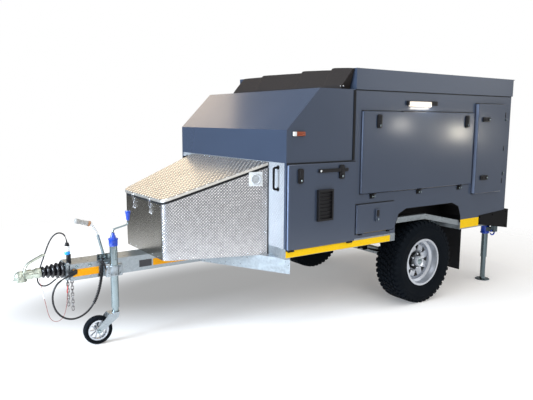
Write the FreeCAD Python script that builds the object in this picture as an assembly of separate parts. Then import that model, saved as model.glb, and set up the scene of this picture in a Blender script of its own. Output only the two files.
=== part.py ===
import FreeCAD, Part
import math
import os

from FreeCAD import Vector as V

# Off-road camping trailer, parked on its road wheels, jockey wheel and two rear steadies.
# Millimetres. +X points forward to the coupling, +Y to the trailer's left, +Z up, floor at z = 0.
# Every size below is measured from the axle line; the finished model is shifted along X so that
# the origin lies on the floor under the middle of the overall length.

os.makedirs("parts", exist_ok=True)

# Running gear
TYRE_R = 388.0
TYRE_W = 265.0
TYRE_PROUD = 49.5
RIM_R = 221.0
RIM_W = 228.0
TRACK_HALF = 792.0
WHEEL_CLEAR = 19.5
HUB_BORE_R = 30.0
HUB_FIT = 0.05
BEAD_FIT = 0.2
WHEEL_WINDOWS = 8
WINDOW_INNER_R = 0.42 * RIM_R
WINDOW_OUTER_R = 0.68 * RIM_R
WINDOW_HALF_W = 0.135 * RIM_R
WHEEL_STUDS = 6
AXLE_BEAM = 60.0
AXLE_SHOULDER = 30.0
STUB_L = 40.0
SPRING_SEAT_L = 110.0
SPRING_SEAT_T = 8.0
SPRING_W = 60.0
SPRING_LEAF = 9.0
SPRING_HALF_L = 450.0
SPRING_RISE = 78.0
SPRING_EYE_R = 16.0
SPRING_EYE_DROP = 20.0
SHACKLE_L = 50.0
SHACKLE_T = 8.0
LEAF_SHARES = (0.45, 0.72, 1.0)

# Body shell; its width follows the track, with the tyres standing a little proud of the sides
BODY_HALF_W = TRACK_HALF + TYRE_W / 2 - TYRE_PROUD
WALL = 25.0
FLOOR_T = 18.0
CABIN_FRONT = 894.0
CABIN_REAR = -1305.0
NOSE_FRONT = 1588.0
NOSE_ROOF_FRONT = 1265.0
NOSE_SLOPE_Z = 1624.0
BELT_Z = 1373.0
ROOF_Z = 1949.0
LID_H = 171.0
LID_OVERHANG = 13.0
LID_SHEET = 3.0
LID_LIP = 20.0
LID_LIP_T = 6.0
ARCH_FRONT = 366.0
ARCH_REAR = -562.0
ARCH_H = 206.0
ARCH_IN_Y = TRACK_HALF - TYRE_W / 2 - WHEEL_CLEAR
ARCH_SHEET = 4.0
ARCH_CORNER = 140.0
ARCH_BAR_H = 50.0
ARCH_BAR_W = 38.0
ARCH_BAR_SHY = 12.0
ARCH_BAR_CRANK = -52.0
ARCH_BAR_END_RISE = 21.0
TYRE_TO_BAR = 11.0
COVER_GAP = 6.0
COVER_L = 100.0
COVER_H = 142.0

# Chassis and drawbar
RAIL_TOP = 704.0
RAIL_H = 70.0
RAIL_W = 50.0
RAIL_TO_ARCH = 55.0
MAIN_RAIL_Y = ARCH_IN_Y - RAIL_TO_ARCH
SPRING_Y = MAIN_RAIL_Y - RAIL_W / 2
DRAWBAR_TOP = 622.0
DRAWBAR_H = 126.0
DRAWBAR_HALF_W = 100.0
DRAWBAR_FRONT = 3010.0
DRAWBAR_REAR = 500.0
DRAWBAR_WALL = 5.0
DRAWBAR_PLATE = 6.0
STRUT_FRONT = 1930.0
STRUT_INSET = 5.0
STRUT_OUT_Y = BODY_HALF_W - STRUT_INSET
STRUT_W = 50.0
STRUT_SHY = 4.0

# Doors: each is a pan that stands proud of the wall, with a plug that enters its opening.
# A side door is (rear x, front x, low z, high z), and so is what is fitted on it.
SEAT_GAP = 0.3
PAN_T = 22.0
PAN_EDGE = 5.0
REAR_PAN_T = 38.0
PLUG_T = 22.0
PLUG_INSET = 32.0
PLUG_GAP = 10.0
HINGE_R = 5.0
HINGE_OFF = 8.0
LEAF_L = 55.0
LEAF_H = 40.0
LEAF_T = 3.0
WEB_T = 4.0
FRONT_DOOR = (878.0, 1577.0, 695.0, 1362.0)
SMALL_HATCH = (403.0, 852.0, 745.0, 995.0)
BIG_HATCH = (-672.0, 811.0, 1085.0, 1777.0)
REAR_DOOR = (-1160.0, -718.0, 981.0, 1866.0)
TAIL_HATCH = (985.0, 1866.0)
TAIL_HATCH_INSET = 175.0
TAIL_HATCH_HALF_W = BODY_HALF_W - TAIL_HATCH_INSET
FRONT_HINGES = (930.0, 1545.0)
SMALL_HINGES = (460.0, 795.0)
BIG_HINGES = (-511.0, 76.0, 669.0)
REAR_HINGES = (1090.0, 1424.0, 1760.0)
LID_HINGES = (-1000.0, -205.0, 590.0)
TAIL_HINGE_INSET = 200.0
TAIL_HINGES = (TAIL_HINGE_INSET - TAIL_HATCH_HALF_W, 0.0, TAIL_HATCH_HALF_W - TAIL_HINGE_INSET)
LOCK_W = 50.0
LOCK_L = 114.0
LOCK_T = 14.0
LOCK_CORNER_R = 14.0
LOCK_BARREL_R = 11.0
LOCK_BARREL_OUT = 8.0
FRONT_LOCKS = ((1470.0, 1272.0), (1046.0, 1287.0))
SMALL_LOCKS = ((623.0, 891.0),)
BIG_LOCKS = ((633.0, 1692.0), (-555.0, 1692.0))
REAR_LOCKS = ((-836.0, 1713.0), (-848.0, 1139.0))
TAIL_LOCK_INSET = 140.0
TAIL_LOCK_UP = 55.0
BAR = (982.0, 1289.0, 1289.0, 1317.0)
BAR_T = 16.0
BAR_CORNER_R = 6.0
VENT = (1143.0, 1300.0, 903.0, 1154.0)
VENT_T = 25.0
VENT_FRAME = 15.0
VENT_BACK_T = 6.0
LOUVRES = 7
LOUVRE_T = 5.0
LOUVRE_OUT = 12.0

# Front box
BOX_REAR_HALF_W = 640.0
BOX_FRONT_HALF_W = 393.0
BOX_FRONT = 2386.0
BOX_FRONT_TOP = 1100.0
BOX_CORNER_R = 70.0
BOX_WALL = 3.0
BOX_LID_T = 25.0
BOX_SEAL_T = 22.0
BOX_SEAL_W = 14.0
BOX_LEDGE_W = 18.0
BOX_LID_OVERHANG = 8.0
BOX_HINGE_GAP = 9.0
GRAB_INSET = 105.0
GRAB_OUT = 40.0
GRAB_Z = (1150.0, 1350.0)
GRAB_POST_Z = (1165.0, 1335.0)
GRAB_R = 9.0
GRAB_POST_R = 8.0
BOX_VENT = (1688.0, 1236.0)
BOX_VENT_R = 45.0
BOX_VENT_T = 12.0
BOX_VENT_EYE_R = (24.0, 33.0)
BOX_VENT_EYE_DEPTH = 8.0
BOX_VENT_PLATE = 112.0
BOX_VENT_PLATE_T = 2.0
TOGGLE_Y = 170.0
TOGGLE_W = 36.0
TOGGLE_L = 90.0
TOGGLE_T = 6.0
TOGGLE_DOWN = 5.0
TOGGLE_ARM_W = 24.0
TOGGLE_ARM_T = 16.0
TOGGLE_ARM_DOWN = (22.0, 88.0)

# Coupling; heights in the outlines are above the floor
COUPLING_Z = 568.0
NOSE_TIP = 3397.0
BALL_X = 3342.0
BALL_Z = 557.0
BALL_BORE_R = 25.2
CUP_R = 42.0
CUP_DEPTH = 34.0
CUP_LIP_T = 12.0
CUP_LIP = ((-10.0, 32.0), (41.0, 24.0))
CUP_LIP_TIP = 12.0
CUP_WEB_BACK = 83.0
CUP_WEB_HALF_W = 27.0
CUP_WEB_Z = (-24.0, -30.0, 40.0, 44.0)
NECK = ((0.0, 0.0), (36.0, 0.0), (38.0, 6.0), (38.0, 34.0), (32.0, 40.0), (30.0, 95.0), (0.0, 95.0))
HANDLE = ((3300.0, 590.0), (3262.0, 608.0), (3240.0, 655.0), (3165.0, 694.0), (3170.0, 706.0),
          (3250.0, 672.0), (3300.0, 655.0), (3322.0, 600.0))
HANDLE_HALF_W = 16.0
HOUSING_REAR = 2800.0
HOUSING_FRONT = 3033.0
HOUSING_SHY = 12.0
FLANGE_HALF_W = 80.0
FLANGE_RISE = 8.0
FLANGE_CORNER_R = 16.0
BELLOWS_FRONT = 3199.0
BELLOWS_R = 64.0
BELLOWS_FRONT_R = 44.0
BELLOWS_DEPTH = 16.0
BELLOWS_FOLDS = 5
BRAKE_Y = 60.0
BRAKE_BASE = (2690.0, 2790.0)
BRAKE_BASE_H = 40.0
BRAKE_BASE_HALF_W = 14.0
BRAKE_ARM = ((2738.0, 642.0), (2782.0, 815.0), (2842.0, 912.0))
BRAKE_ARM_R = (11.0, 10.0)
BRAKE_GRIP = ((2838.0, 908.0), (2944.0, 941.0))
BRAKE_GRIP_R = 15.0

# Jockey wheel
JOCKEY_X = 2705.0
JOCKEY_OUT = 84.0
JOCKEY_Y = DRAWBAR_HALF_W + JOCKEY_OUT
JOCKEY_TUBE_R = 30.0
JOCKEY_TUBE_Z0 = 262.0
JOCKEY_TUBE_Z1 = 745.0
JOCKEY_CAP_T = 25.0
JOCKEY_LEG_R = 24.0
JOCKEY_LEG_IN = 400.0
JOCKEY_CLAMP_L = 90.0
JOCKEY_CLAMP_T = 8.0
JOCKEY_CLAMP_Z = (505.0, 605.0)
JOCKEY_SLEEVE_Z = (515.0, 595.0)
JOCKEY_WEB_L = 32.0
CAP = ((0.0, 0.0), (34.0, 0.0), (34.0, 46.0), (30.0, 50.0), (14.0, 62.0), (9.0, 106.0), (0.0, 106.0))
CRANK = ((0.0, 96.0), (-112.0, 140.0), (-120.0, 195.0))
CRANK_R = 6.0
CRANK_GRIP = ((-120.0, 190.0), (-124.0, 262.0))
CRANK_GRIP_R = 14.0
JOCKEY_WHEEL_R = 110.0
JOCKEY_WHEEL_W = 58.0
JOCKEY_TRAIL = 142.0
JOCKEY_RIM_R = 76.0
JOCKEY_RIM_T = 8.0
JOCKEY_RIM_W = 40.0
JOCKEY_HUB_R = 20.0
JOCKEY_HUB_W = 64.0
JOCKEY_PIN_R = 8.0
JOCKEY_SPOKES = 10
SPOKE_W = 9.0
SPOKE_T = 18.0
FORK_OVER_WHEEL = 12.0
FORK_CLEAR = 6.0
FORK_SHEET = 5.0
FORK_TOP = (-20.0, 60.0)
FORK_CROWN_T = 12.0

# Rear steadies
STEADY_X = -1190.0
STEADY_INSET = 135.0
STEADY_Y = BODY_HALF_W - STEADY_INSET
STEADY_TUBE_R = 32.0
STEADY_TUBE_Z0 = 250.0
STEADY_TUBE_Z1 = 615.0
STEADY_LEG_R = 26.0
STEADY_LEG_IN = 200.0
STEADY_FOOT_R = 75.0
STEADY_FOOT_T = 8.0
STEADY_FOOT = ((0.0, 5.0), (-8.0, 10.0), (-39.0, 14.0), (-47.0, 26.0))
STEADY_CLAMP_Z = (520.0, 590.0)
STEADY_ARM_Z = (540.0, 580.0)
STEADY_ARM_W = 60.0
STEADY_POST_W = 40.0
SLEEVE_T = 8.0
FIT = 0.3

# Bumper and tail
BUMPER_REAR = -1368.0
BUMPER_FRONT_X = -865.0
BUMPER_FRONT_Z = (654.0, 747.0)
BUMPER_REAR_Z = (572.0, 774.0)
BUMPER_T = 6.0
TAIL_LAMP_INSET = 75.0
TAIL_LAMP_W = 240.0
TAIL_LAMP_Z = (610.0, 690.0)
TAIL_LAMP_T = 33.0
LAMP_GAP = 0.2
SIDE_LAMP = (-116.0, 281.0, 1833.0, 1873.0)
SIDE_LAMP_T = 26.0
MARKER = (1419.0, 1539.0, 1575.0, 1615.0)
MARKER_T = 24.0
LAMP_CORNER_R = 8.0
FLAP_T = 6.0
FLAP_LOW = 225.0
FLAP_BEHIND_ARCH = 30.0

# Safety chains, and the leads: each route is a list of hand-placed points, every bend an arc
LINK_BAR = 7.0
LINK_IN_L = 30.0
LINK_IN_W = 11.0
LINK_SLACK = 3.15
EYE_SLACK = 2.9
CHAIN_LINKS = 8
CHAIN_X = 2990.0
CHAIN_Y = 60.0
EYE_HALF_L = 20.0
EYE_HALF_T = 4.0
EYE_H = 34.0
EYE_HOLE_R = 8.0
EYE_HOLE_DOWN = 18.0
LEAD_R = 5.0
LEAD_ROUTE = [(2772, 120, 600), (2777, 120, 545), (2789, 121, 475), (2808, 123, 395), (2843, 125, 312),
              (2895, 126, 247), (2961, 126, 212), (3028, 125, 207), (3091, 124, 237), (3137, 122, 298),
              (3155, 121, 378), (3142, 120, 455), (3102, 121, 512), (3048, 123, 536)]
CABLE_R = 3.0
CABLE_ROUTE = [(3005, 22, 775), (3008, 17, 812), (3027, 6, 846), (3062, -12, 852), (3095, -31, 825),
               (3119, -47, 778), (3138, -60, 722), (3158, -69, 661), (3180, -75, 598), (3200, -78, 541),
               (3209, -78, 497), (3199, -76, 460), (3172, -73, 440), (3137, -69, 442), (3104, -65, 463),
               (3071, -61, 488), (3033.4, -58, 500)]
SNAP_R = 2.0
SNAP_ROUTE = [(3021, 55, 496), (3023, 60, 452), (3030, 66, 398), (3034, 68, 340), (3043, 68, 284),
              (3058, 67, 232), (3086, 66, 196), (3124, 64, 190), (3155, 61, 212), (3172, 58, 256),
              (3181, 54, 312), (3191, 48, 370), (3199, 38, 428), (3208, 23, 481), (3214, 10, 531)]
PLUG_NECK_L = 24.0
PLUG_NECK_R = 10.0
PLUG_R = 17.0
PLUG_L = 40.0
HOLDER_R = 18.0
HOLDER_L = 18.0
HOLDER_ARM = (-26.0, -10.0, -2.0, 18.0)
GLAND_R = 10.0
GLAND_L = 50.0
GLAND_ARM_HALF_L = 12.0
GLAND_ARM_H = 14.0
POST_R = 17.0
POST_Z = (-90.0, -22.0)
POST_FOOT = (-20.0, 5.0, 20.0)
BOOT_R = 12.0
BOOT_L = 24.0


def box(x0, x1, y0, y1, z0, z1):
    """Axis-aligned block between the given limits."""
    return Part.makeBox(x1 - x0, y1 - y0, z1 - z0, V(x0, y0, z0))


def mirrored(shape):
    """The same shape on the trailer's other side."""
    return shape.mirror(V(0, 0, 0), V(0, 1, 0))


def pair(shape):
    """A piece and its mirror image, as one node."""
    return Part.makeCompound([shape, mirrored(shape)])


def face_of(points):
    """A flat face inside a closed polygon."""
    return Part.Face(Part.makePolygon(points + [points[0]]))


def prism_xz(points, y0, y1):
    """A side-view outline (x, z) carried across from y0 to y1."""
    return face_of([V(x, y0, z) for x, z in points]).extrude(V(0, y1 - y0, 0))


def prism_xy(points, z0, z1):
    """A plan outline (x, y) carried up from z0 to z1."""
    return face_of([V(x, y, z0) for x, y in points]).extrude(V(0, 0, z1 - z0))


def rod(start, end, radius):
    """A round bar from one point to another."""
    run = end.sub(start)
    return Part.makeCylinder(radius, run.Length, start, run)


def turned(profile, base, axis):
    """A (radius, height) outline turned about an axis through base."""
    face = face_of([V(r, 0, h) for r, h in profile])
    shape = face.revolve(V(0, 0, 0), V(0, 0, 1), 360)
    solid = Part.Solid(shape) if shape.ShapeType == "Shell" else shape
    turn = FreeCAD.Rotation(V(0, 0, 1), axis)
    solid.Placement = FreeCAD.Placement(base, turn)
    return solid


def fused(shapes):
    """One solid from pieces that meet."""
    return shapes[0].multiFuse(shapes[1:]).removeSplitter()


def rounded_plan(points, radii):
    """A closed plan wire at z = 0 whose corners are arcs of the given radii (0 keeps them sharp)."""
    count = len(points)
    ends = []
    for i, (point, radius) in enumerate(zip(points, radii)):
        here = V(point[0], point[1], 0)
        back = V(*points[i - 1], 0).sub(here).normalize()
        ahead = V(*points[(i + 1) % count], 0).sub(here).normalize()
        if radius == 0:
            ends.append((here, None, here))
            continue
        half = back.getAngle(ahead) / 2
        reach = radius / math.tan(half)
        middle = back.add(ahead).normalize()
        mid = here.add(middle.multiply(radius / math.sin(half) - radius))
        ends.append((here.add(back.multiply(reach)), mid, here.add(ahead.multiply(reach))))
    edges = []
    for i, (start, mid, end) in enumerate(ends):
        if mid is not None:
            edges.append(Part.Arc(start, mid, end).toShape())
        edges.append(Part.LineSegment(end, ends[(i + 1) % count][0]).toShape())
    return Part.Wire(edges)


# Chassis, drawbar and running gear

def chassis_frame():
    """Two main rails, side rails with cranked bars over the wheels, outriggers and cross-members."""
    z0, z1 = RAIL_TOP - RAIL_H, RAIL_TOP
    inner = MAIN_RAIL_Y - RAIL_W
    parts = []
    for side in (-1, 1):
        y0, y1 = sorted((side * inner, side * MAIN_RAIL_Y))
        parts.append(box(CABIN_REAR, NOSE_FRONT, y0, y1, z0, z1))
        y0, y1 = sorted((side * (BODY_HALF_W - RAIL_W), side * BODY_HALF_W))
        parts.append(box(ARCH_FRONT, NOSE_FRONT, y0, y1, z0, z1))
        parts.append(box(CABIN_REAR, ARCH_REAR, y0, y1, z0, z1))
        y0, y1 = sorted((side * inner, side * BODY_HALF_W))
        for x0 in (ARCH_FRONT, ARCH_REAR - RAIL_W, CABIN_FRONT - RAIL_W):
            parts.append(box(x0, x0 + RAIL_W, y0, y1, z0, z1))
    for x0 in (CABIN_FRONT - RAIL_W, ARCH_FRONT, ARCH_REAR - RAIL_W):
        parts.append(box(x0, x0 + RAIL_W, -inner, inner, z0, z1))
    parts.append(box(CABIN_REAR, CABIN_REAR + RAIL_W, -BODY_HALF_W, BODY_HALF_W, z0, z1))
    parts.append(box(NOSE_FRONT - RAIL_W, NOSE_FRONT, -BODY_HALF_W, BODY_HALF_W, z0, z1))
    packers = ((NOSE_FRONT - RAIL_W, STRUT_OUT_Y), (CABIN_FRONT - RAIL_W, DRAWBAR_HALF_W),
               (DRAWBAR_REAR, DRAWBAR_HALF_W))
    for x0, reach in packers:
        parts.append(box(x0, x0 + RAIL_W, -reach, reach, DRAWBAR_TOP, z0))
    parts.append(box(DRAWBAR_REAR, DRAWBAR_REAR + RAIL_W, -inner, inner, z0, z1))
    return Part.makeCompound([fused(parts)] + arch_bars())


def drawbar():
    """Two box rails side by side under one cover plate."""
    z0, z1 = DRAWBAR_TOP - DRAWBAR_H, DRAWBAR_TOP - DRAWBAR_PLATE
    rail_w = DRAWBAR_HALF_W / 2
    parts = [box(DRAWBAR_REAR, DRAWBAR_FRONT, -DRAWBAR_HALF_W, DRAWBAR_HALF_W, z1, DRAWBAR_TOP)]
    for y0 in (-DRAWBAR_HALF_W, DRAWBAR_HALF_W - rail_w):
        skin = box(DRAWBAR_REAR, DRAWBAR_FRONT, y0, y0 + rail_w, z0, z1)
        hollow = box(DRAWBAR_REAR - 1, DRAWBAR_FRONT + 1, y0 + DRAWBAR_WALL, y0 + rail_w - DRAWBAR_WALL,
                     z0 + DRAWBAR_WALL, z1 - DRAWBAR_WALL)
        parts.append(skin.cut(hollow))
    return fused(parts)


def drawbar_struts():
    """The slanted braces from the drawbar to the chassis corners."""
    z0, z1 = DRAWBAR_TOP - DRAWBAR_H + STRUT_SHY, DRAWBAR_TOP
    x1 = NOSE_FRONT - RAIL_W
    run = V(x1 - STRUT_FRONT, STRUT_OUT_Y - DRAWBAR_HALF_W, 0)
    side = V(run.y, -run.x, 0).normalize() * STRUT_W
    reach = run.normalize() * (2 * STRUT_W)
    a, b = V(STRUT_FRONT, DRAWBAR_HALF_W, 0), V(x1, STRUT_OUT_Y, 0)
    corners = [a - reach, b + reach, b + reach - side, a - reach - side]
    bar = prism_xy([(p.x, p.y) for p in corners], z0, z1)
    trim = box(x1, DRAWBAR_FRONT, DRAWBAR_HALF_W, BODY_HALF_W, z0, z1)
    return pair(bar.common(trim))


def axle_beam():
    """Square beam with spring seats and round stub axles."""
    half, seat = AXLE_BEAM / 2, SPRING_SEAT_L / 2
    top = TYRE_R + half
    reach = TRACK_HALF - TYRE_W / 2 - AXLE_SHOULDER
    parts = [box(-half, half, -reach, reach, TYRE_R - half, top)]
    for s in (-1, 1):
        y0, y1 = s * SPRING_Y - SPRING_W / 2 - 5, s * SPRING_Y + SPRING_W / 2 + 5
        parts.append(box(-seat, seat, y0, y1, top, top + SPRING_SEAT_T))
        parts.append(rod(V(0, s * (reach - 5), TYRE_R), V(0, s * (TRACK_HALF + STUB_L), TYRE_R),
                         HUB_BORE_R - HUB_FIT))
    return fused(parts)


def spring_leaf(length_half, z_mid, rise):
    """One leaf, a shallow arc of constant thickness."""
    def arc(drop):
        return (V(-length_half, 0, z_mid + rise + drop), V(0, 0, z_mid + drop),
                V(length_half, 0, z_mid + rise + drop))
    low, high = arc(0), arc(SPRING_LEAF)
    wire = Part.Wire([Part.Arc(*low).toShape(), Part.LineSegment(low[2], high[2]).toShape(),
                      Part.Arc(*reversed(high)).toShape(), Part.LineSegment(high[0], low[0]).toShape()])
    return Part.Face(wire).extrude(V(0, SPRING_W, 0))


def leaf_springs():
    """Leaf packs over the axle with their eyes, hangers, shackles and clamps."""
    seat_z = TYRE_R + AXLE_BEAM / 2 + SPRING_SEAT_T
    rail_z = RAIL_TOP - RAIL_H
    eye_z = seat_z + (len(LEAF_SHARES) - 0.5) * SPRING_LEAF + SPRING_RISE
    parts = [spring_leaf(SPRING_HALF_L * share, seat_z + n * SPRING_LEAF, SPRING_RISE * share ** 2)
             for n, share in enumerate(LEAF_SHARES)]
    half = SHACKLE_L / 2
    for x in (-SPRING_HALF_L, SPRING_HALF_L):
        parts.append(rod(V(x, -SHACKLE_T, eye_z), V(x, SPRING_W + SHACKLE_T, eye_z), SPRING_EYE_R))
        for y0 in (-SHACKLE_T, SPRING_W):
            parts.append(box(x - half, x + half, y0, y0 + SHACKLE_T, eye_z - SPRING_EYE_DROP, rail_z))
        parts.append(box(x - half, x + half, -SHACKLE_T, SPRING_W + SHACKLE_T, rail_z - SHACKLE_T, rail_z))
    top, seat = seat_z + len(LEAF_SHARES) * SPRING_LEAF, SPRING_SEAT_L / 2
    parts.append(box(-seat, seat, -5, SPRING_W + 5, top - 1, top + SPRING_SEAT_T + 2))
    pack = fused(parts)
    pack.translate(V(0, SPRING_Y - SPRING_W / 2, 0))
    return pair(pack)


def tyre():
    """Off-road tyre section, turned about the axle, with a flat tread and square shoulders."""
    half, bead = TYRE_W / 2, RIM_W / 2
    outline = [(RIM_R + BEAD_FIT, 2 - bead), (RIM_R + 22, -bead - 4), (TYRE_R - 95, -half),
               (TYRE_R - 55, -half + 2), (TYRE_R - 16, -half + 16), (TYRE_R, -half + 34)]
    outline += [(r, -h) for r, h in reversed(outline)]
    return turned(outline, V(0, TRACK_HALF, TYRE_R), V(0, 1, 0))


def rim():
    """Steel disc wheel: a well-base barrel and a dished disc with eight three-cornered windows."""
    half = RIM_W / 2
    barrel = turned([(RIM_R, -half), (RIM_R, -half + 6), (RIM_R - 14, -half + 14), (RIM_R - 14, -60),
                     (RIM_R - 36, -48), (RIM_R - 36, 30), (RIM_R - 14, 44), (RIM_R - 14, half - 14),
                     (RIM_R, half - 6), (RIM_R, half), (RIM_R - 18, half), (RIM_R - 20, 48),
                     (RIM_R - 42, 34), (RIM_R - 42, -52), (RIM_R - 20, -64), (RIM_R - 20, -half)],
                    V(0, 0, 0), V(0, 0, 1))
    disc = turned([(60, 11), (0.38 * RIM_R, 11), (0.48 * RIM_R, 34), (0.68 * RIM_R, 30), (RIM_R - 38, 8),
                   (RIM_R - 38, -2), (0.67 * RIM_R, 20), (0.49 * RIM_R, 24), (0.4 * RIM_R, 1), (60, 1)],
                  V(0, 0, 0), V(0, 0, 1))
    inner, outer, reach = WINDOW_INNER_R, WINDOW_OUTER_R, WINDOW_HALF_W
    for n in range(WHEEL_WINDOWS):
        window = face_of([V(inner, 0, -10), V(outer, -reach, -10), V(outer, reach, -10)]).extrude(V(0, 0, 60))
        window.rotate(V(0, 0, 0), V(0, 0, 1), n * 360.0 / WHEEL_WINDOWS)
        disc = disc.cut(window)
    hub = turned([(HUB_BORE_R, -60), (62, -60), (62, 0), (78, 0), (78, 14), (50, 14), (48, 60), (42, 72),
                  (0, 76), (0, 62), (HUB_BORE_R, 62)], V(0, 0, 0), V(0, 0, 1))
    parts = [barrel, disc, hub]
    for n in range(WHEEL_STUDS):
        angle = 2 * math.pi * (n + 0.5) / WHEEL_STUDS
        at = V(66 * math.cos(angle), 66 * math.sin(angle), 8)
        parts.append(Part.makeCylinder(9, 26, at))
    wheel = fused(parts)
    wheel.Placement = FreeCAD.Placement(V(0, TRACK_HALF, TYRE_R), FreeCAD.Rotation(V(0, 0, 1), V(0, 1, 0)))
    return wheel


# Body shell

def body_floor():
    """Deck on the chassis rails, notched round the wheel boxes."""
    reach = BODY_HALF_W - WALL
    deck = box(CABIN_REAR + WALL, NOSE_FRONT - WALL, -reach, reach, RAIL_TOP, RAIL_TOP + FLOOR_T)
    for s in (-1, 1):
        y0, y1 = sorted((s * (ARCH_IN_Y - ARCH_SHEET), s * BODY_HALF_W))
        deck = deck.cut(box(ARCH_REAR - ARCH_SHEET, ARCH_FRONT + ARCH_SHEET, y0, y1, RAIL_TOP,
                            RAIL_TOP + FLOOR_T))
    return deck


def arch_outline(grow, low=RAIL_TOP):
    """Side view of the wheel opening, with its upper corners cut to slopes."""
    x0, x1, top = ARCH_REAR - grow, ARCH_FRONT + grow, RAIL_TOP + ARCH_H + grow
    c = ARCH_CORNER
    return [(x0, low), (x0, top - c), (x0 + c * 0.3, top - c * 0.3), (x0 + c, top),
            (x1 - c, top), (x1 - c * 0.3, top - c * 0.3), (x1, top - c), (x1, low)]


def arch_bars():
    """The cranked bar that carries the side rail over the wheel, a level and a sloping length a side."""
    y1 = BODY_HALF_W - ARCH_BAR_SHY
    top, end = 2 * TYRE_R + TYRE_TO_BAR + ARCH_BAR_H, RAIL_TOP + ARCH_BAR_END_RISE
    low = RAIL_TOP - RAIL_H
    bay = prism_xz(arch_outline(0, low), y1 - ARCH_BAR_W, y1)
    bars = []
    for (x0, z0), (x1, z1) in (((ARCH_REAR, end), (ARCH_BAR_CRANK, top)), ((ARCH_BAR_CRANK, top), (ARCH_FRONT, top))):
        outline = [(x0, z0 - ARCH_BAR_H), (x1, z1 - ARCH_BAR_H), (x1, z1), (x0, z0)]
        length = prism_xz(outline, y1 - ARCH_BAR_W, y1).common(bay)
        bars += [length, mirrored(length)]
    return bars


def wheel_arches():
    """Sheet wheel boxes, open below and to the outside."""
    shell = prism_xz(arch_outline(ARCH_SHEET), ARCH_IN_Y - ARCH_SHEET, BODY_HALF_W)
    hollow = prism_xz(arch_outline(0), ARCH_IN_Y, BODY_HALF_W + 1)
    return pair(shell.cut(hollow))


def opening_in(door, y0, y1):
    """The hole in a side wall behind a door."""
    x0, x1, z0, z1 = door
    i = PLUG_INSET - PLUG_GAP
    return box(x0 + i, x1 - i, y0, y1, z0 + i, z1 - i)


def cabin_sides():
    """Side walls with the wheel arch and the three door openings."""
    y0, y1 = BODY_HALF_W - WALL, BODY_HALF_W
    wall = box(CABIN_REAR, CABIN_FRONT, y0, y1, RAIL_TOP, ROOF_Z - WALL)
    wall = wall.cut(prism_xz(arch_outline(ARCH_SHEET), y0 - 1, y1 + 1))
    for door in (SMALL_HATCH, BIG_HATCH, REAR_DOOR):
        wall = wall.cut(opening_in(door, y0 - 1, y1 + 1))
    return pair(wall)


def cabin_roof():
    """Roof deck that closes the cabin under the lid."""
    return box(CABIN_REAR, CABIN_FRONT, -BODY_HALF_W, BODY_HALF_W, ROOF_Z - WALL, ROOF_Z)


def rear_wall():
    """Rear wall with the tail hatch opening."""
    reach = BODY_HALF_W - WALL
    i = PLUG_INSET - PLUG_GAP
    wall = box(CABIN_REAR, CABIN_REAR + WALL, -reach, reach, RAIL_TOP, ROOF_Z - WALL)
    half, (z0, z1) = TAIL_HATCH_HALF_W - i, TAIL_HATCH
    return wall.cut(box(CABIN_REAR - 1, CABIN_REAR + WALL + 1, -half, half, z0 + i, z1 - i))


def nose_cap():
    """Sloping upper nose, a hollow shell open below and to the cabin."""
    outer = [(CABIN_FRONT, BELT_Z), (NOSE_FRONT, BELT_Z), (NOSE_FRONT, NOSE_SLOPE_Z),
             (NOSE_ROOF_FRONT, ROOF_Z), (CABIN_FRONT, ROOF_Z)]
    t = WALL
    slope = math.atan2(ROOF_Z - NOSE_SLOPE_Z, NOSE_FRONT - NOSE_ROOF_FRONT)
    inner = [(CABIN_FRONT - 1, BELT_Z - 1), (NOSE_FRONT - t, BELT_Z - 1),
             (NOSE_FRONT - t, NOSE_SLOPE_Z - t * math.tan(slope / 2)),
             (NOSE_ROOF_FRONT - t * math.tan(slope / 2), ROOF_Z - t), (CABIN_FRONT - 1, ROOF_Z - t)]
    shell = prism_xz(outer, -BODY_HALF_W, BODY_HALF_W)
    return shell.cut(prism_xz(inner, -BODY_HALF_W + t, BODY_HALF_W - t))


def nose_sides():
    """Lower nose side walls round the front door openings."""
    y0, y1 = BODY_HALF_W - WALL, BODY_HALF_W
    wall = box(CABIN_FRONT, NOSE_FRONT, y0, y1, RAIL_TOP, BELT_Z)
    x0, x1, z0, z1 = FRONT_DOOR
    i = PLUG_INSET - PLUG_GAP
    hole = box(max(x0, CABIN_FRONT) + i, x1 - i, y0 - 1, y1 + 1, z0 + i, z1 - i)
    return pair(wall.cut(hole))


def nose_front_wall():
    """Sheet front wall behind the front box."""
    reach = BODY_HALF_W - WALL
    return box(NOSE_FRONT - WALL, NOSE_FRONT, -reach, reach, RAIL_TOP, BELT_Z)


def lid_hinge_line():
    """End-view position (y, z) of the roof lid's hinge line, on the trailer's right side."""
    return -(BODY_HALF_W + LID_OVERHANG + HINGE_OFF), ROOF_Z - 6


def lid_knuckles():
    """Hinge barrels on the roof lid with the straps that carry them."""
    y, z = lid_hinge_line()
    out = []
    for x in LID_HINGES:
        barrel = rod(V(x - LEAF_L / 2, y, z), V(x - LEAF_L * 0.05, y, z), HINGE_R)
        strap = box(x - LEAF_L / 2, x - LEAF_L * 0.05, y, y + HINGE_OFF + LID_SHEET, z + 3, z + 12)
        out += [barrel, strap]
    return out


def lid_leaves():
    """Wall halves of the roof lid's hinges."""
    y, z = lid_hinge_line()
    out = []
    for x in LID_HINGES:
        barrel = rod(V(x, y, z), V(x + LEAF_L / 2, y, z), HINGE_R)
        web = box(x, x + LEAF_L / 2, y, -BODY_HALF_W, z - WEB_T, z)
        leaf = box(x - LEAF_L / 2, x + LEAF_L / 2, -BODY_HALF_W - LEAF_T, -BODY_HALF_W, z - LEAF_H, z - WEB_T)
        out.append(fused([barrel, web, leaf]))
    return out


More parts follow.
